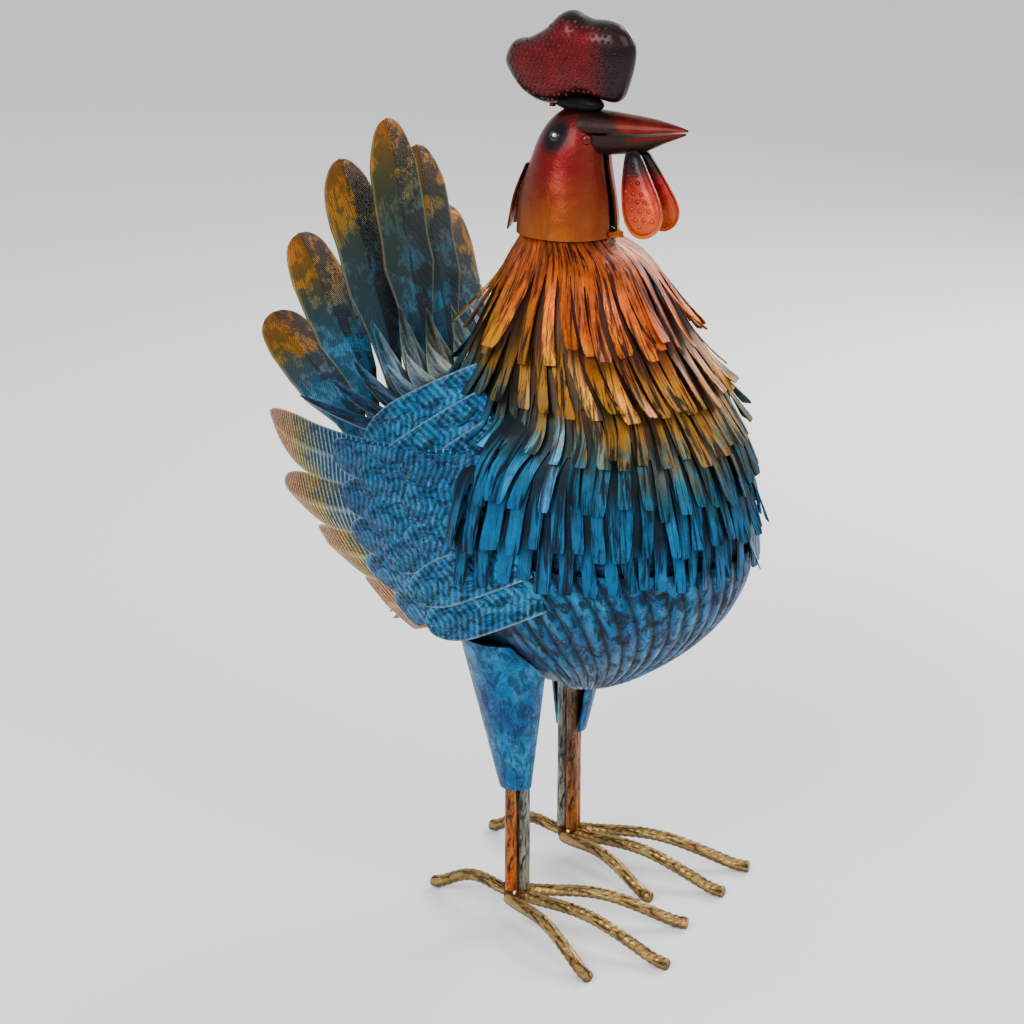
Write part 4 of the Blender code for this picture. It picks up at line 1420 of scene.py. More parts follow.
def make_head_paint():
    material, tree, shader = start_paint("head_paint")
    fore, side = head_parts(tree)
    z = place_parts(tree)["Z"]
    patina = use_group(tree, PATINA, size=130.0, low=0.38, high=0.64)
    brush = use_group(tree, BRUSH, across=420.0, along=60.0, low=0.34, high=0.60)
    up = scale_range(tree, wander(tree, z, patina["Mask"], 0.006), 0.277, 0.325)
    colour = ramp(tree, up, (
        (0.0, (0.34, 0.075, 0.001)), (0.16, (0.26, 0.044, 0.001)), (0.34, (0.17, 0.014, 0.002)),
        (0.50, (0.15, 0.003, 0.004)), (0.80, (0.12, 0.002, 0.004)), (1.0, (0.02, 0.002, 0.003)),
    ))
    streaks = times(tree, rest_of(tree, brush["Marks"]), scale_range(tree, up, 0.50, 0.20))
    colour = darken(tree, colour, times(tree, streaks, 0.6), (0.10, 0.035, 0.012))
    rear = scale_range(tree, wander(tree, fore, patina["Mask"], 0.004), -0.006, -0.018)
    colour = blend(tree, times(tree, rear, 0.5), colour, (0.16, 0.06, 0.04))
    ahead = scale_range(tree, fore, 0.007, 0.016)
    colour = blend(tree, times(tree, ahead, 0.5), colour, (0.17, 0.03, 0.008))
    off_side = calculate(tree, "SUBTRACT", calculate(tree, "ABSOLUTE", side), EYE_SIDE)
    off_fore = calculate(tree, "SUBTRACT", fore, EYE_FORE)
    off_up = calculate(tree, "SUBTRACT", z, EYE_UP)
    offset = add_node(tree, "ShaderNodeCombineXYZ", {0: off_side, 1: off_fore, 2: off_up})
    away = add_node(tree, "ShaderNodeVectorMath", {0: offset.outputs[0]}, operation="LENGTH").outputs["Value"]
    spot = scale_range(tree, wander(tree, away, patina["Mask"], 0.0012), 0.0080, 0.0046)
    colour = darken(tree, colour, times(tree, spot, 0.97))
    end_paint(tree, shader, colour, 0.36, height=patina["Mask"], depth=0.00015, coat=0.14)
    return material


HEAD_PAINT = make_head_paint()
print("mixed", HEAD_PAINT.name)

# %% [markdown]
# ### Comb's, beak's and wattles' paints
#
# The comb is maroon and nearly black at its rim, the beak is red with a dark base, and the
# wattles fade from coral to black at the top. Each fade is sprayed, so its border is soft: a
# range over a distance, shifted a little by the patina, gives that better than painted masks.

# %% Mix the paints of the comb, the beak and the wattles


def make_comb_paint():
    material, tree, shader = start_paint("comb_paint")
    fore, _ = head_parts(tree)
    patina = use_group(tree, PATINA, size=150.0, low=0.40, high=0.62)
    near_rim = scale_range(tree, wander(tree, attribute(tree, "edge"), patina["Mask"], 0.10), 0.70, 0.86)
    front = scale_range(tree, wander(tree, fore, patina["Mask"], 0.003), 0.012, 0.019)
    dark = calculate(tree, "MAXIMUM", near_rim, front)
    red = blend(tree, patina["Mask"], (0.075, 0.0010, 0.003), (0.125, 0.0015, 0.005))
    colour = darken(tree, red, times(tree, dark, 0.93), (0.006, 0.003, 0.003))
    end_paint(tree, shader, colour, 0.32, height=patina["Mask"], depth=0.0002, coat=0.25)
    return material


def make_beak_paint():
    material, tree, shader = start_paint("beak_paint")
    patina = use_group(tree, PATINA, size=200.0, low=0.40, high=0.62)
    red = blend(tree, patina["Mask"], (0.13, 0.006, 0.002), (0.07, 0.003, 0.002))
    colour = darken(tree, red, attribute(tree, "tone_and_shade"), (0.016, 0.008, 0.007))
    end_paint(tree, shader, colour, 0.42, height=patina["Mask"], depth=0.00012, coat=0.12)
    return material


def make_wattle_paint():
    material, tree, shader = start_paint("wattle_paint")
    z = place_parts(tree)["Z"]
    patina = use_group(tree, PATINA, size=170.0, low=0.40, high=0.62)
    up = scale_range(tree, wander(tree, z, patina["Mask"], 0.004), 0.279, 0.309)
    colour = ramp(tree, up, (
        (0.0, (0.52, 0.10, 0.012)), (0.35, (0.44, 0.045, 0.014)), (0.62, (0.26, 0.010, 0.007)),
        (0.80, (0.06, 0.010, 0.008)), (0.90, (0.010, 0.007, 0.007)),
    ))
    end_paint(tree, shader, colour, 0.34, height=patina["Mask"], depth=0.0002, coat=0.2)
    return material


COMB_PAINT = make_comb_paint()
BEAK_PAINT = make_beak_paint()
WATTLE_PAINT = make_wattle_paint()
print("mixed", [paint.name for paint in (COMB_PAINT, BEAK_PAINT, WATTLE_PAINT)])

# %% Mix the plain paints of the small parts


def make_plain_paint(name, colour, rough, coat):
    material, tree, shader = start_paint(name)
    patina = use_group(tree, PATINA, size=260.0, low=0.40, high=0.62)
    mottled = blend(tree, patina["Mask"], colour, tuple(value * 0.5 for value in colour))
    end_paint(tree, shader, mottled, rough, height=patina["Mask"], depth=0.0001, coat=coat)
    return material


BLACK_PAINT = make_plain_paint("black_paint", (0.006, 0.006, 0.007), 0.6, 0.05)
GLOSS_BLACK = make_plain_paint("gloss_black_paint", (0.004, 0.004, 0.005), 0.12, 1.0)
WHITE_PAINT = make_plain_paint("white_paint", (0.85, 0.85, 0.82), 0.25, 0.8)
RIVET_PAINT = make_plain_paint("rivet_paint", (0.12, 0.006, 0.005), 0.28, 0.3)
TAB_PAINT = make_plain_paint("tab_paint", (0.42, 0.08, 0.002), 0.34, 0.1)
print("mixed", [paint.name for paint in (BLACK_PAINT, GLOSS_BLACK, WHITE_PAINT, RIVET_PAINT, TAB_PAINT)])

# %% [markdown]
# ### Cap
#
# The real cap is one drawn cup with a seam under the beak. A table gives its rings as height,
# centre, half length and half width in cap radii, and a smooth curve runs through them. The
# seam is cut from the flat grid before it is rolled, and the inside is painted black.

# %% Spin the cap
CAP_ROWS = (
    (0.769, 0.00, 1.00, 0.98),
    (0.806, 0.00, 0.94, 0.88),
    (0.839, 0.04, 0.80, 0.75),
    (0.867, 0.10, 0.685, 0.625),
    (0.886, 0.175, 0.525, 0.45),
    (0.8985, 0.24, 0.30, 0.25),
    (0.9028, 0.25, 0.0, 0.0),
)
CAP_SHEET = 0.0010
SEAM_HALF = math.radians(9)
SEAM_TOP = 3.0


def on_head(fore, side, up):
    """A place on the head: metres ahead and left of the neck's axis, and a height share."""
    turned_fore = fore * math.cos(HEAD_TURN) - side * math.sin(HEAD_TURN)
    turned_side = fore * math.sin(HEAD_TURN) + side * math.cos(HEAD_TURN)
    return Vector((turned_side, -CAP_AXIS * LENGTH / 2 - turned_fore, up * HEIGHT))


def head_direction(fore, side, up=0.0):
    """A direction in the head's own axes."""
    flat = on_head(fore, side, 0) - on_head(0, 0, 0)
    return Vector((flat.x, flat.y, up)).normalized()


def cap_point(angle, row, proud=0.0):
    """A point of the cap; angle 0 is under the beak and grows to the head's left."""
    up, centre, half_length, half_width = spline(CAP_ROWS, row)
    fore = (centre + half_length * math.cos(angle)) * CAP_RADIUS + proud * math.cos(angle)
    return on_head(fore, half_width * CAP_RADIUS * math.sin(angle) + proud * math.sin(angle), up)


def make_cap():
    def place(x, y):
        angle = math.pi * (x + 1)
        row = (y + 1) / 2 * (len(CAP_ROWS) - 1)
        dent = 0.00018 * math.sin(5 * angle + 2 * row)
        dent -= 0.0003 * ease(0.6, 0, row) * (1 + math.sin(3 * angle))
        return cap_point(angle, row, dent), (angle * 0.018, row * 0.009), 0.0, 1.0

    def waste(x, y):
        angle = math.pi * (x + 1)
        row = (y + 1) / 2 * (len(CAP_ROWS) - 1)
        return min(angle, math.tau - angle) < SEAM_HALF and row < SEAM_TOP

    cap = flat_grid("head", 120, 60)
    cut_away(cap, waste)
    lay(cap, place)
    merge_doubles(cap)
    paint_piece(cap, HEAD_PAINT, BLACK_PAINT)
    give_thickness(cap, CAP_SHEET, offset=-1.0, lining=1)
    smooth(cap, 50)
    return hand_over(cap, None, "head_red", "head_cap")


print("the cap has", len(make_cap().data.polygons), "faces")

# %% [markdown]
# ### Eyes, rivets and trim
#
# The eyes are glossy black beads with a white glint, set into the sprayed spots. Two rivets
# hold the beak, and the cap's corners are bent outward at its seam. Such small parts are
# flattened beads and strips, set on the cap's own surface so that they stay on it.

# %% Set the eyes and the rivets
EYE_RADIUS = 0.0021
GLINT_RADIUS = 0.0007
RIVET_RADIUS = 0.0021
RIVET_ANGLE = math.radians(42)
RIVET_ROW = 3.25


def add_bead(name, place, radius, flat=0.6, facing=None, segments=20):
    """A flattened bead that looks along a direction."""
    bpy.ops.object.select_all(action="DESELECT")
    bpy.ops.mesh.primitive_uv_sphere_add(
        segments=segments, ring_count=segments // 2, radius=radius, location=place
    )
    bead = bpy.context.object
    bead.name = name
    bead.data.name = name
    bead.scale.z = flat
    if facing:
        bead.rotation_euler = facing.to_track_quat("Z", "Y").to_euler()
    bpy.ops.object.shade_smooth()
    return bead


def make_eyes():
    for side, word in ((-1, "right"), (1, "left")):
        facing = head_direction(0.15, side, 0.35)
        place = on_head(EYE_FORE, side * (EYE_SIDE + 0.0001), EYE_UP / HEIGHT)
        hand_over(add_bead(f"eye_{word}", place, EYE_RADIUS, 0.45, facing), GLOSS_BLACK, "head_red")
        glint = place + facing * 0.0008 + head_direction(-0.3, 0, 1) * 0.0004
        hand_over(add_bead(f"eye_glint_{word}", glint, GLINT_RADIUS, 0.4, facing), WHITE_PAINT, "head_red")


def make_rivets():
    for side, word in ((-1, "right"), (1, "left")):
        place = cap_point(side * RIVET_ANGLE, RIVET_ROW, 0.0003)
        facing = head_direction(0.75, side, 0.2)
        hand_over(add_bead(f"rivet_{word}", place, RIVET_RADIUS, 0.55, facing), RIVET_PAINT, "head_red")


make_eyes()
make_rivets()
print("set the eyes at", EYE_UP, "and the rivets")

# %% Bend the neck strip and the tabs


def make_neck_strip():
    """A strip of the first collar that stands up behind the cap."""
    def place(x, y):
        share = (y + 1) / 2
        angle = math.pi + x * math.radians(34) * (1 - 0.35 * share)
        proud = 0.0030 - 0.0022 * share + 0.0004 * math.sin(9 * x)
        return cap_point(angle, 0.1 + 1.9 * share, proud), (x * 0.012, share * 0.02), abs(x), 0.9

    strip = flat_grid("neck_strip", 24, 16)
    finish_sheet(strip, place, SHEET)
    return hand_over(strip, FRINGE_PAINT, "hackle_orange")


def make_tabs():
    """The cap's corner under the seam is bent outward on each side."""
    for side, word in ((-1, "right"), (1, "left")):
        def place(x, y, side=side):
            share = (y + 1) / 2
            angle = side * (SEAM_HALF + math.radians(3) - share * math.radians(13))
            proud = 0.0004 + 0.0032 * share * share
            return cap_point(angle, 0.02 + 0.11 * (x + 1), proud), (x * 0.003, share * 0.005), 0.0, 0.0

        tab = flat_grid(f"cap_tab_{word}", 4, 8)
        finish_sheet(tab, place, CAP_SHEET * 0.8)
        hand_over(tab, TAB_PAINT, "head_red")


make_neck_strip()
make_tabs()
print("bent the neck strip and the tabs")

# %% [markdown]
# ### Comb and wattles
#
# The comb is two puffed shells, punched all over with small bumps from inside. A puffed shell
# is a round grid that is drawn to the outline at its rim and swells towards its middle. The
# wattles are the same with a flat flange. The bumps are one small bead, copied in staggered
# rows and turned with the shell, since a bump in the paint alone would not show at the rim.

# %% Draw the outlines
COMB_OUTLINE = (
    (-1.34, 0.945), (-1.16, 0.964), (-0.80, 0.970), (-0.45, 0.981), (-0.15, 0.996), (0.10, 1.000),
    (0.45, 0.993), (0.85, 0.992), (1.20, 0.984), (1.38, 0.965), (1.30, 0.935), (1.06, 0.910),
    (0.42, 0.914), (-0.36, 0.902), (-0.90, 0.911), (-1.22, 0.929),
)
WATTLE_OUTLINE = (
    (1.33, 0.8625), (1.56, 0.8630), (1.90, 0.834), (2.11, 0.813), (2.18, 0.798), (2.09, 0.784),
    (1.86, 0.776), (1.61, 0.778), (1.40, 0.792), (1.30, 0.815), (1.28, 0.840),
)


def closed_spline(points, share):
    """A point of the smooth closed curve through points; share runs once round it."""
    count = len(points)
    place = (share % 1.0) * count
    index = int(place)
    table = [points[(index + step) % count] for step in (-1, 0, 1, 2)]
    return spline(table, 1 + place - index)


def middle_of(outline):
    return [sum(values) / len(outline) for values in zip(*outline)]


print("the comb's outline has", len(COMB_OUTLINE), "points, a wattle's", len(WATTLE_OUTLINE))

# %% Puff a shell and set its bumps


def swell_at(scale):
    """How far a shell stands out, from 1 in its middle to 0 at its rim."""
    return math.sqrt(max(0.0, 1 - scale ** 2.8))


def make_shell(name, outline, half, side, shift, rounds=96, rings=26):
    """Half of a puffed shape, domed to one side of its outline."""
    middle = middle_of(outline)

    def place(x, y):
        share = (x + 1) / 2
        scale = 1 - ((y + 1) / 2) ** 1.6
        rim = closed_spline(outline, share)
        fore, up = (c + (r - c) * scale for c, r in zip(middle, rim))
        aside = side * swell_at(scale) * half + shift(up)
        return on_head(fore * CAP_RADIUS, aside, up), (share * 0.1, scale * 0.02), scale, 0.0

    shell = flat_grid(name, rounds, rings)
    lay(shell, place)
    merge_doubles(shell)
    return shell


def rim_table(outline):
    """Direction and distance of the outline's points from its middle, in metres."""
    fore, up = middle_of(outline)
    table = []
    for step in range(240):
        rim_fore, rim_up = closed_spline(outline, step / 240)
        ahead = (rim_fore - fore) * CAP_RADIUS
        high = (rim_up - up) * HEIGHT
        table.append((math.atan2(high, ahead), math.hypot(ahead, high)))
    return table


def make_bumps(name, outline, half, side, shift, *, pitch, radius, reach, seed):
    """Small domes on a puffed shell, in staggered rows."""
    rng = random.Random(seed)
    fore, up = middle_of(outline)
    rim = rim_table(outline)
    size = max(distance for _, distance in rim)
    bead = add_bead(name, (0, 0, 0), radius, 0.55, segments=8)
    bumps = []
    rows = int(size / pitch) + 1
    for row in range(-rows, rows + 1):
        for column in range(-rows, rows + 1):
            ahead = (column + 0.5 * (row % 2) + rng.uniform(-0.12, 0.12)) * pitch
            high = (row * 0.92 + rng.uniform(-0.12, 0.12)) * pitch
            turn = math.atan2(high, ahead)
            border = min(rim, key=lambda point: abs(math.remainder(point[0] - turn, math.tau)))[1]
            scale = math.hypot(ahead, high) / border
            if scale > reach:
                continue
            share_up = up + high / HEIGHT
            aside = side * swell_at(scale) * half + shift(share_up)
            slope = 0.6 * scale ** 1.8 / max(swell_at(scale), 0.2) / size
            tilt = head_direction(ahead * slope, side, high * slope)
            bump = bead.copy()
            bump.data = bead.data.copy()
            bump.location = on_head(fore * CAP_RADIUS + ahead, aside, share_up)
            bump.rotation_euler = tilt.to_track_quat("Z", "Y").to_euler()
            bpy.context.collection.objects.link(bump)
            bumps.append(bump)
    bpy.data.objects.remove(bead)
    return join(name, bumps)


print("a shell can be puffed and dotted")

# %% Puff the comb
COMB_THICKNESS = 0.019
COMB_BUMPS = {"pitch": 0.0023, "radius": 0.00075, "reach": 0.90, "seed": 7}
COMB_GAP = 0.00015


def make_comb():
    half = COMB_THICKNESS / 2 - 0.0005
    for side, word in ((-1, "right"), (1, "left")):
        def shift(up, side=side):
            return side * COMB_GAP

        shell = make_shell(f"comb_shell_{word}", COMB_OUTLINE, half, side, shift)
        face_outwards(shell)
        smooth(shell, 60)
        hand_over(shell, COMB_PAINT, "comb_maroon", f"comb_{word}")
        bumps = make_bumps(f"comb_bumps_{word}", COMB_OUTLINE, half, side, shift, **COMB_BUMPS)
        hand_over(bumps, COMB_PAINT, "comb_maroon")


make_comb()
print("puffed the comb")

# %% Set the comb on its seat and studs
COMB_STUDS = (("rear", 13), ("front", 12))
STUD_RADIUS = 0.0013
STUD_FOOT_UP = 0.899
SEAT_RADIUS = 0.0125
SEAT_FORE = 0.004
SEAT_UP = 0.906


def make_studs():
    upright = head_direction(0, 0, 1)
    seat = add_bead("comb_seat", on_head(SEAT_FORE, 0, SEAT_UP), SEAT_RADIUS, 0.30, upright, 24)
    seat.scale.x = 0.42
    hand_over(seat, BLACK_PAINT, "comb_maroon")
    for word, point in COMB_STUDS:
        fore, up = COMB_OUTLINE[point]
        low = on_head(fore * CAP_RADIUS, 0, STUD_FOOT_UP)
        high = on_head(fore * CAP_RADIUS, 0, up + 0.006)
        bpy.ops.object.select_all(action="DESELECT")
        bpy.ops.mesh.primitive_cylinder_add(
            vertices=20, radius=STUD_RADIUS, depth=(high - low).length, location=(low + high) / 2
        )
        stud = bpy.context.object
        stud.name = f"stud_{word}"
        smooth(stud)
        hand_over(stud, RIVET_PAINT, "comb_maroon", f"comb_stud_{word}")


make_studs()
print("set", len(COMB_STUDS), "studs")

# %% Puff the wattles
WATTLE_THICKNESS = 0.0055
WATTLE_SPLAY = 0.16
WATTLE_FLANGE = 0.0009
WATTLE_BUMPS = {"pitch": 0.0034, "radius": 0.0009, "reach": 0.80}


def make_wattle(side, word):
    def shift(up):
        spread = (WATTLE_OUTLINE[0][1] - up) * HEIGHT * WATTLE_SPLAY
        return side * (WATTLE_THICKNESS / 2 + 0.0003 + spread)

    half = WATTLE_THICKNESS / 2 - 0.0002
    fore, up = middle_of(WATTLE_OUTLINE)
    inset = [(f * 0.92 + fore * 0.08, u * 0.92 + up * 0.08) for f, u in WATTLE_OUTLINE]
    halves = [make_shell(f"wattle_{word}_{n}", inset, half, n, shift, 64, 18) for n in (-1, 1)]
    pillow = join(f"wattle_body_{word}", halves)
    merge_doubles(pillow)
    face_outwards(pillow)
    smooth(pillow, 60)
    flange = make_shell(f"wattle_flange_{word}", WATTLE_OUTLINE, 0.0, 1, shift, 64, 6)
    give_thickness(flange, WATTLE_FLANGE)
    smooth(flange, 40)
    whole = join(f"wattle_{word}_skin", [pillow, flange])
    hand_over(whole, WATTLE_PAINT, "wattle_coral", f"wattle_{word}")
    bumps = make_bumps(f"wattle_bumps_{word}", inset, half, side, shift, seed=17 + side, **WATTLE_BUMPS)
    hand_over(bumps, WATTLE_PAINT, "wattle_coral")


make_wattle(-1, "right")
make_wattle(1, "left")
print("puffed the wattles")

# %% [markdown]
# ### Beak
#
# The beak's halves are folded sheet with a ridge, dark at their base, and the lower half is
# darker on its underside as painted shade. Each is a grid rolled round its length, from a table
# of stations that gives the mouth line, the ridge and the half width. The lower half is shorter,
# so the upper one hooks over it.

# %% Fold the beak
UPPER_BEAK = (
    (0.40, 0.880, 0.9012, 0.44), (1.50, 0.882, 0.898, 0.30), (2.10, 0.885, 0.894, 0.16),
    (2.47, 0.8865, 0.8895, 0.04), (2.50, 0.8868, 0.8885, 0.004),
)
LOWER_BEAK = (
    (0.40, 0.8765, 0.8515, 0.39), (1.50, 0.8785, 0.860, 0.27), (2.10, 0.8825, 0.874, 0.13),
    (2.43, 0.8848, 0.882, 0.035), (2.46, 0.8850, 0.883, 0.004),
)


def make_beak(name, stations, node, upper):
    def place(x, y):
        angle = math.pi * x
        fore, mouth, ridge, half = spline(stations, (y + 1) / 2 * (len(stations) - 1))
        arch = max(0.0, math.cos(angle)) ** 0.85
        side = half * CAP_RADIUS * math.sin(angle)
        # The base is dark paint; the lower half is also darker on its underside, as painted shade.
        if upper:
            dark = ease(1.42, 1.22, fore + 0.30 * arch)
        else:
            dark = max(ease(1.5, 1.3, fore), ease(0.15, 0.5, arch) * ease(2.35, 1.9, fore))
        point = on_head(fore * CAP_RADIUS, side, mouth + (ridge - mouth) * arch)
        return point, (x * 0.01, fore * 0.02), 0.0, 0.95 * dark

    beak = flat_grid(name, 36, 64)
    lay(beak, place)
    merge_doubles(beak)
    face_outwards(beak)
    smooth(beak, 50)
    return hand_over(beak, BEAK_PAINT, "beak_orange", node)


make_beak("upper_beak", UPPER_BEAK, "beak_upper", True)
make_beak("lower_beak", LOWER_BEAK, "beak_lower", False)
print("folded the beak")

# %% [markdown]
# ## Legs and feet
#
# A shank is three plain rods welded side by side. The toes are ribbed rod, as used in
# concrete: the ribs run round it at a slant, and two seams run along it. Rods are grids rolled
# round a middle line, because a curve's own bevel could not carry the ribs.

# %% Mix the rods' paints


def make_rod_paint(name, top, low, share_low, share_high):
    material, tree, shader = start_paint(name)
    z = place_parts(tree)["Z"]
    patina = use_group(tree, PATINA, size=190.0, low=0.42, high=0.60)
    fine = use_group(tree, BRUSH, across=420.0, along=90.0, low=0.42, high=0.56)
    up = scale_range(tree, wander(tree, z, patina["Mask"], 0.02), share_low, share_high)
    colour = blend(tree, up, low, top)
    colour = blend(tree, times(tree, patina["Speckle"], 0.16), colour, (0.45, 0.40, 0.26))
    # Dark brush marks together with painted shade from the vertex attribute: on the rods' sides that face
    # each other, on the toes' undersides and in the hollows between their ribs.
    darkening = calculate(tree, "MAXIMUM", rest_of(tree, fine["Marks"]), attribute(tree, "tone_and_shade"))
    colour = darken(tree, colour, times(tree, darkening, 0.93), (0.008, 0.006, 0.005))
    end_paint(tree, shader, colour, 0.36, height=fine["Marks"], depth=0.00015, metallic=0.8, coat=0.1)
    return material


TOE_PAINT = make_rod_paint("toe_paint", (0.50, 0.32, 0.10), (0.40, 0.22, 0.05), 0.0, 0.02)
SILVER_ROD = make_rod_paint("silver_rod_paint", (0.14, 0.17, 0.18), (0.24, 0.23, 0.18), 0.02, 0.09)
DARK_ROD = make_rod_paint("dark_rod_paint", (0.07, 0.07, 0.06), (0.30, 0.08, 0.004), 0.02, 0.09)
ORANGE_ROD = make_rod_paint("orange_rod_paint", (0.26, 0.15, 0.04), (0.46, 0.09, 0.002), 0.03, 0.09)


print("mixed", [paint.name for paint in (TOE_PAINT, SILVER_ROD, DARK_ROD, ORANGE_ROD)])

# %% Cut and join the rods of a shank
ROD_RADIUS = 0.0026
ROD_SPREAD = 1.11
ANKLE_HEIGHT = 0.0125


def make_rod(name, x, y, top, shade_angle, seed):
    phase = random.Random(seed).uniform(0, 6)

    def place(gx, gy):
        angle = math.pi * gx
        share = (gy + 1) / 2
        radius = ROD_RADIUS * (0.985 + 0.02 * math.sin(3 * angle + 9 * share + phase))
        point = Vector((x + radius * math.cos(angle), y + radius * math.sin(angle),
                        ANKLE_HEIGHT + (top - ANKLE_HEIGHT) * share))
        # Painted shade on the side of a rod that faces the other rods.
        shade = 0.8 * ease(0.45, 1.0, math.cos(angle - shade_angle))
        return point, (angle * ROD_RADIUS, share * 0.1), 0.0, shade

    rod = flat_grid(name, 24, 60)
    finish_tube(rod, place, 60)
    return rod


def make_leg(foot, word):
    outward = math.copysign(1, foot.x)
    ring = ROD_RADIUS * ROD_SPREAD
    rods = []
    for number, paint in enumerate((ORANGE_ROD, SILVER_ROD, DARK_ROD)):
        rod_angle = math.tau * number / 3 + (0 if outward > 0 else math.pi)
        x = foot.x + ring * math.cos(rod_angle)
        y = foot.y + ring * math.sin(rod_angle)
        rod = make_rod(f"rod_{word}_{number}", x, y, underside(x, y) - 0.0004, rod_angle + math.pi, number)
        paint_piece(rod, paint)
        rods.append(rod)
    return hand_over(join(f"shank_{word}", rods), None, "rod_gold", f"leg_{word}")


print("a shank can be cut")

# %% Bend a toe
TOE_LANDING = 0.93
TOE_RIB = 0.00026
TOE_RIB_PITCH = 0.0031
TOE_FACE = 0.00045


def toe_height(share):
    """Height of a toe's middle line: it arches from the ankle and lands near its tip."""
    share = min(1.0, max(0.0, share))
    low = ROD_RADIUS * 0.97
    high = ANKLE_HEIGHT - ROD_RADIUS - 0.0003
    arch = ROD_RADIUS * math.sin(math.pi * min(1, share / TOE_LANDING)) ** 2
    return low + (high - low) * max(0, 1 - (share / TOE_LANDING) ** 2.6) + arch


def make_toe(name, node, start, end):
    length = (end - start).length
    ahead = (end - start).normalized()
    beside = Vector((-ahead.y, ahead.x, 0))

    def centre(share):
        """The toe's middle line, smoothed so that it lands without a kink."""
        point = start.lerp(end, share)
        height = sum(toe_height(share + step * 0.03) for step in (-1, 0, 1)) / 3
        return Vector((point.x, point.y, height))

    def place(x, y):
        angle = math.pi * x
        share = (y + 1) / 2
        slope = (centre(min(1, share + 0.01)) - centre(max(0, share - 0.01))).normalized()
        up = slope.cross(beside)
        phase = share * length / TOE_RIB_PITCH + 0.55 * abs(math.sin(angle))
        wave = max(0.0, math.cos(math.tau * phase)) ** 1.5
        rib = max(wave, ease(0.95, 1.0, abs(math.sin(angle))))
        radius = ROD_RADIUS - TOE_RIB + TOE_RIB * rib
        if share > 0.995:
            radius *= 0.9
        point = centre(share) + (beside * math.sin(angle) + up * math.cos(angle)) * radius
        point.z = max(point.z, 0.0)
        # Painted shade in the hollows between the ribs and on the underside.
        shade = 0.26 * (1 - rib) + 0.62 * ease(0.3, -0.4, math.cos(angle) * math.copysign(1, up.z))
        return point, (angle * ROD_RADIUS, share * length), 0.0, shade

    toe = flat_grid(name, 24, round(length / TOE_FACE))
    finish_tube(toe, place, 45)
    return hand_over(toe, TOE_PAINT, "rod_gold", node)


print("a toe can be bent")

# %% Weld the feet together
RIGHT_ANKLE = (0.252, -0.407)
LEFT_ANKLE = (0.024, 0.407)
RIGHT_TOES = {
    "outer_toe": (0.801, -0.714), "middle_toe": (0.934, -0.300),
    "inner_toe": (0.772, 0.157), "hind_toe": (-0.137, -0.486),
}
LEFT_TOES = {
    "inner_toe": (0.536, 0.243), "middle_toe": (0.697, 0.600),
    "outer_toe": (0.625, 0.965), "hind_toe": (-0.336, 0.300),
}
WELD_LUMPS = 9
WELD_SPREADS = (0.0035, 0.0050)
WELD_RISES = (-0.002, 0.0015)
WELD_RADII = (0.0013, 0.0024)
WELD_FLATS = (0.7, 1.0)


def make_welds(foot, word):
    """Lumps of weld where the toes meet the shank."""
    rng = random.Random(3)
    lumps = []
    for number in range(WELD_LUMPS):
        turn = math.tau * number / WELD_LUMPS + rng.uniform(-0.3, 0.3)
        spread = rng.uniform(*WELD_SPREADS)
        place = foot + Vector((spread * math.cos(turn), spread * math.sin(turn), 0))
        place.z = ANKLE_HEIGHT - 0.0015 + rng.uniform(*WELD_RISES)
        radius = rng.uniform(*WELD_RADII)
        lumps.append(add_bead(f"weld_{number}", place, radius, rng.uniform(*WELD_FLATS), segments=12))
    return hand_over(join(f"welds_{word}", lumps), DARK_ROD, "rod_gold")


def make_feet():
    for word, ankle, toes in (("right", RIGHT_ANKLE, RIGHT_TOES), ("left", LEFT_ANKLE, LEFT_TOES)):
        foot = at(*ankle, 0)
        make_leg(foot, word)
        make_welds(foot, word)
        ahead = (at(*toes["middle_toe"], 0) - foot).normalized()
        beside = Vector((-ahead.y, ahead.x, 0))
        if beside.x * foot.x < 0:
            beside.negate()
        pitch = ROD_RADIUS * 2 + 0.0003
        starts = {
            "outer_toe": foot + ahead * ROD_RADIUS * 0.2 + beside * pitch,
            "middle_toe": foot + ahead * ROD_RADIUS * 0.4,
            "inner_toe": foot + ahead * ROD_RADIUS * 0.2 - beside * pitch,
            "hind_toe": foot - ahead * ROD_RADIUS * 1.7,
        }
        for toe, tip in toes.items():
            make_toe(f"{toe.replace('_toe', '')}_{word}", f"{toe}_{word}", starts[toe], at(*tip, 0))


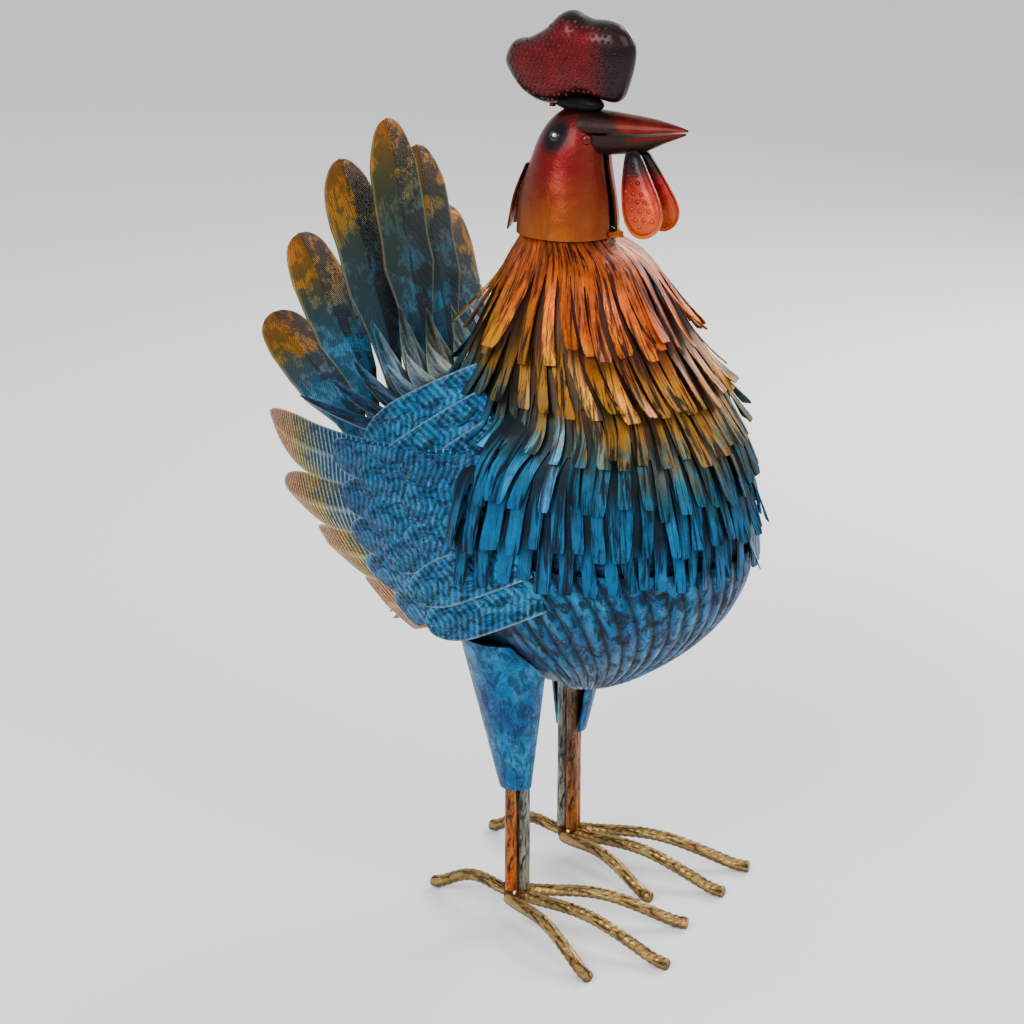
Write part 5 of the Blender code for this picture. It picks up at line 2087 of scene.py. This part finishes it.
make_feet()
print("made both feet with", len(RIGHT_TOES) + len(LEFT_TOES), "toes")

# %% [markdown]
# ## Thighs
#
# Each thigh is a cone of sheet that wraps the leg on its outer side and stays open on the
# inner one, blue outside and black inside. Its top edge meets the round belly, so the cone is
# cut along the line where the body's underside is found, instead of being sunk into it.

# %% Roll the thighs
THIGH_RADIUS = 0.0185
THIGH_SPLAY = 0.0050
THIGH_SHEET = 0.0010
HOCK_RADIUS = 0.00629
THIGH_WRAP = math.radians(105)
THIGH_UP = 0.345
HOCK_UP = 0.160
THIGH_CLEARANCE = 0.0012
THIGH_FACES = 48


def make_thigh(foot, word):
    outward = math.copysign(1, foot.x)
    hock = HEIGHT * HOCK_UP
    crest = HEIGHT * THIGH_UP

    def on_cone(turn, height):
        share = (height - hock) / (crest - hock)
        radius = HOCK_RADIUS + (THIGH_RADIUS - HOCK_RADIUS) * share
        x = foot.x + outward * (THIGH_SPLAY * share + radius * math.cos(turn))
        return Vector((x, foot.y + radius * math.sin(turn), height))

    def top_of(turn):
        for step in range(101):
            height = hock + (crest - hock) * step / 100
            point = on_cone(turn, height)
            if underside(point.x, point.y) - height < THIGH_CLEARANCE:
                return height
        return crest

    tops = [top_of(THIGH_WRAP * (step / (THIGH_FACES / 2) - 1)) for step in range(THIGH_FACES + 1)]

    def place(x, y):
        share = (y + 1) / 2
        turn = THIGH_WRAP * x
        top = tops[round((x + 1) / 2 * THIGH_FACES)]
        point = on_cone(turn, hock + (top - hock) * share)
        return point, (turn * 0.015, share * 0.06), 0.0, 1.0

    thigh = flat_grid(f"thigh_cone_{word}", THIGH_FACES, 30)
    lay(thigh, place)
    if outward < 0:
        in_edit_mode(thigh, bpy.ops.mesh.flip_normals)
    paint_piece(thigh, BLUE_PAINT, BLACK_PAINT)
    give_thickness(thigh, THIGH_SHEET, lining=1)
    smooth(thigh)
    return hand_over(thigh, None, "wing_blue", f"thigh_{word}")


make_thigh(at(*RIGHT_ANKLE, 0), "right")
make_thigh(at(*LEFT_ANKLE, 0), "left")
print("rolled the thighs")
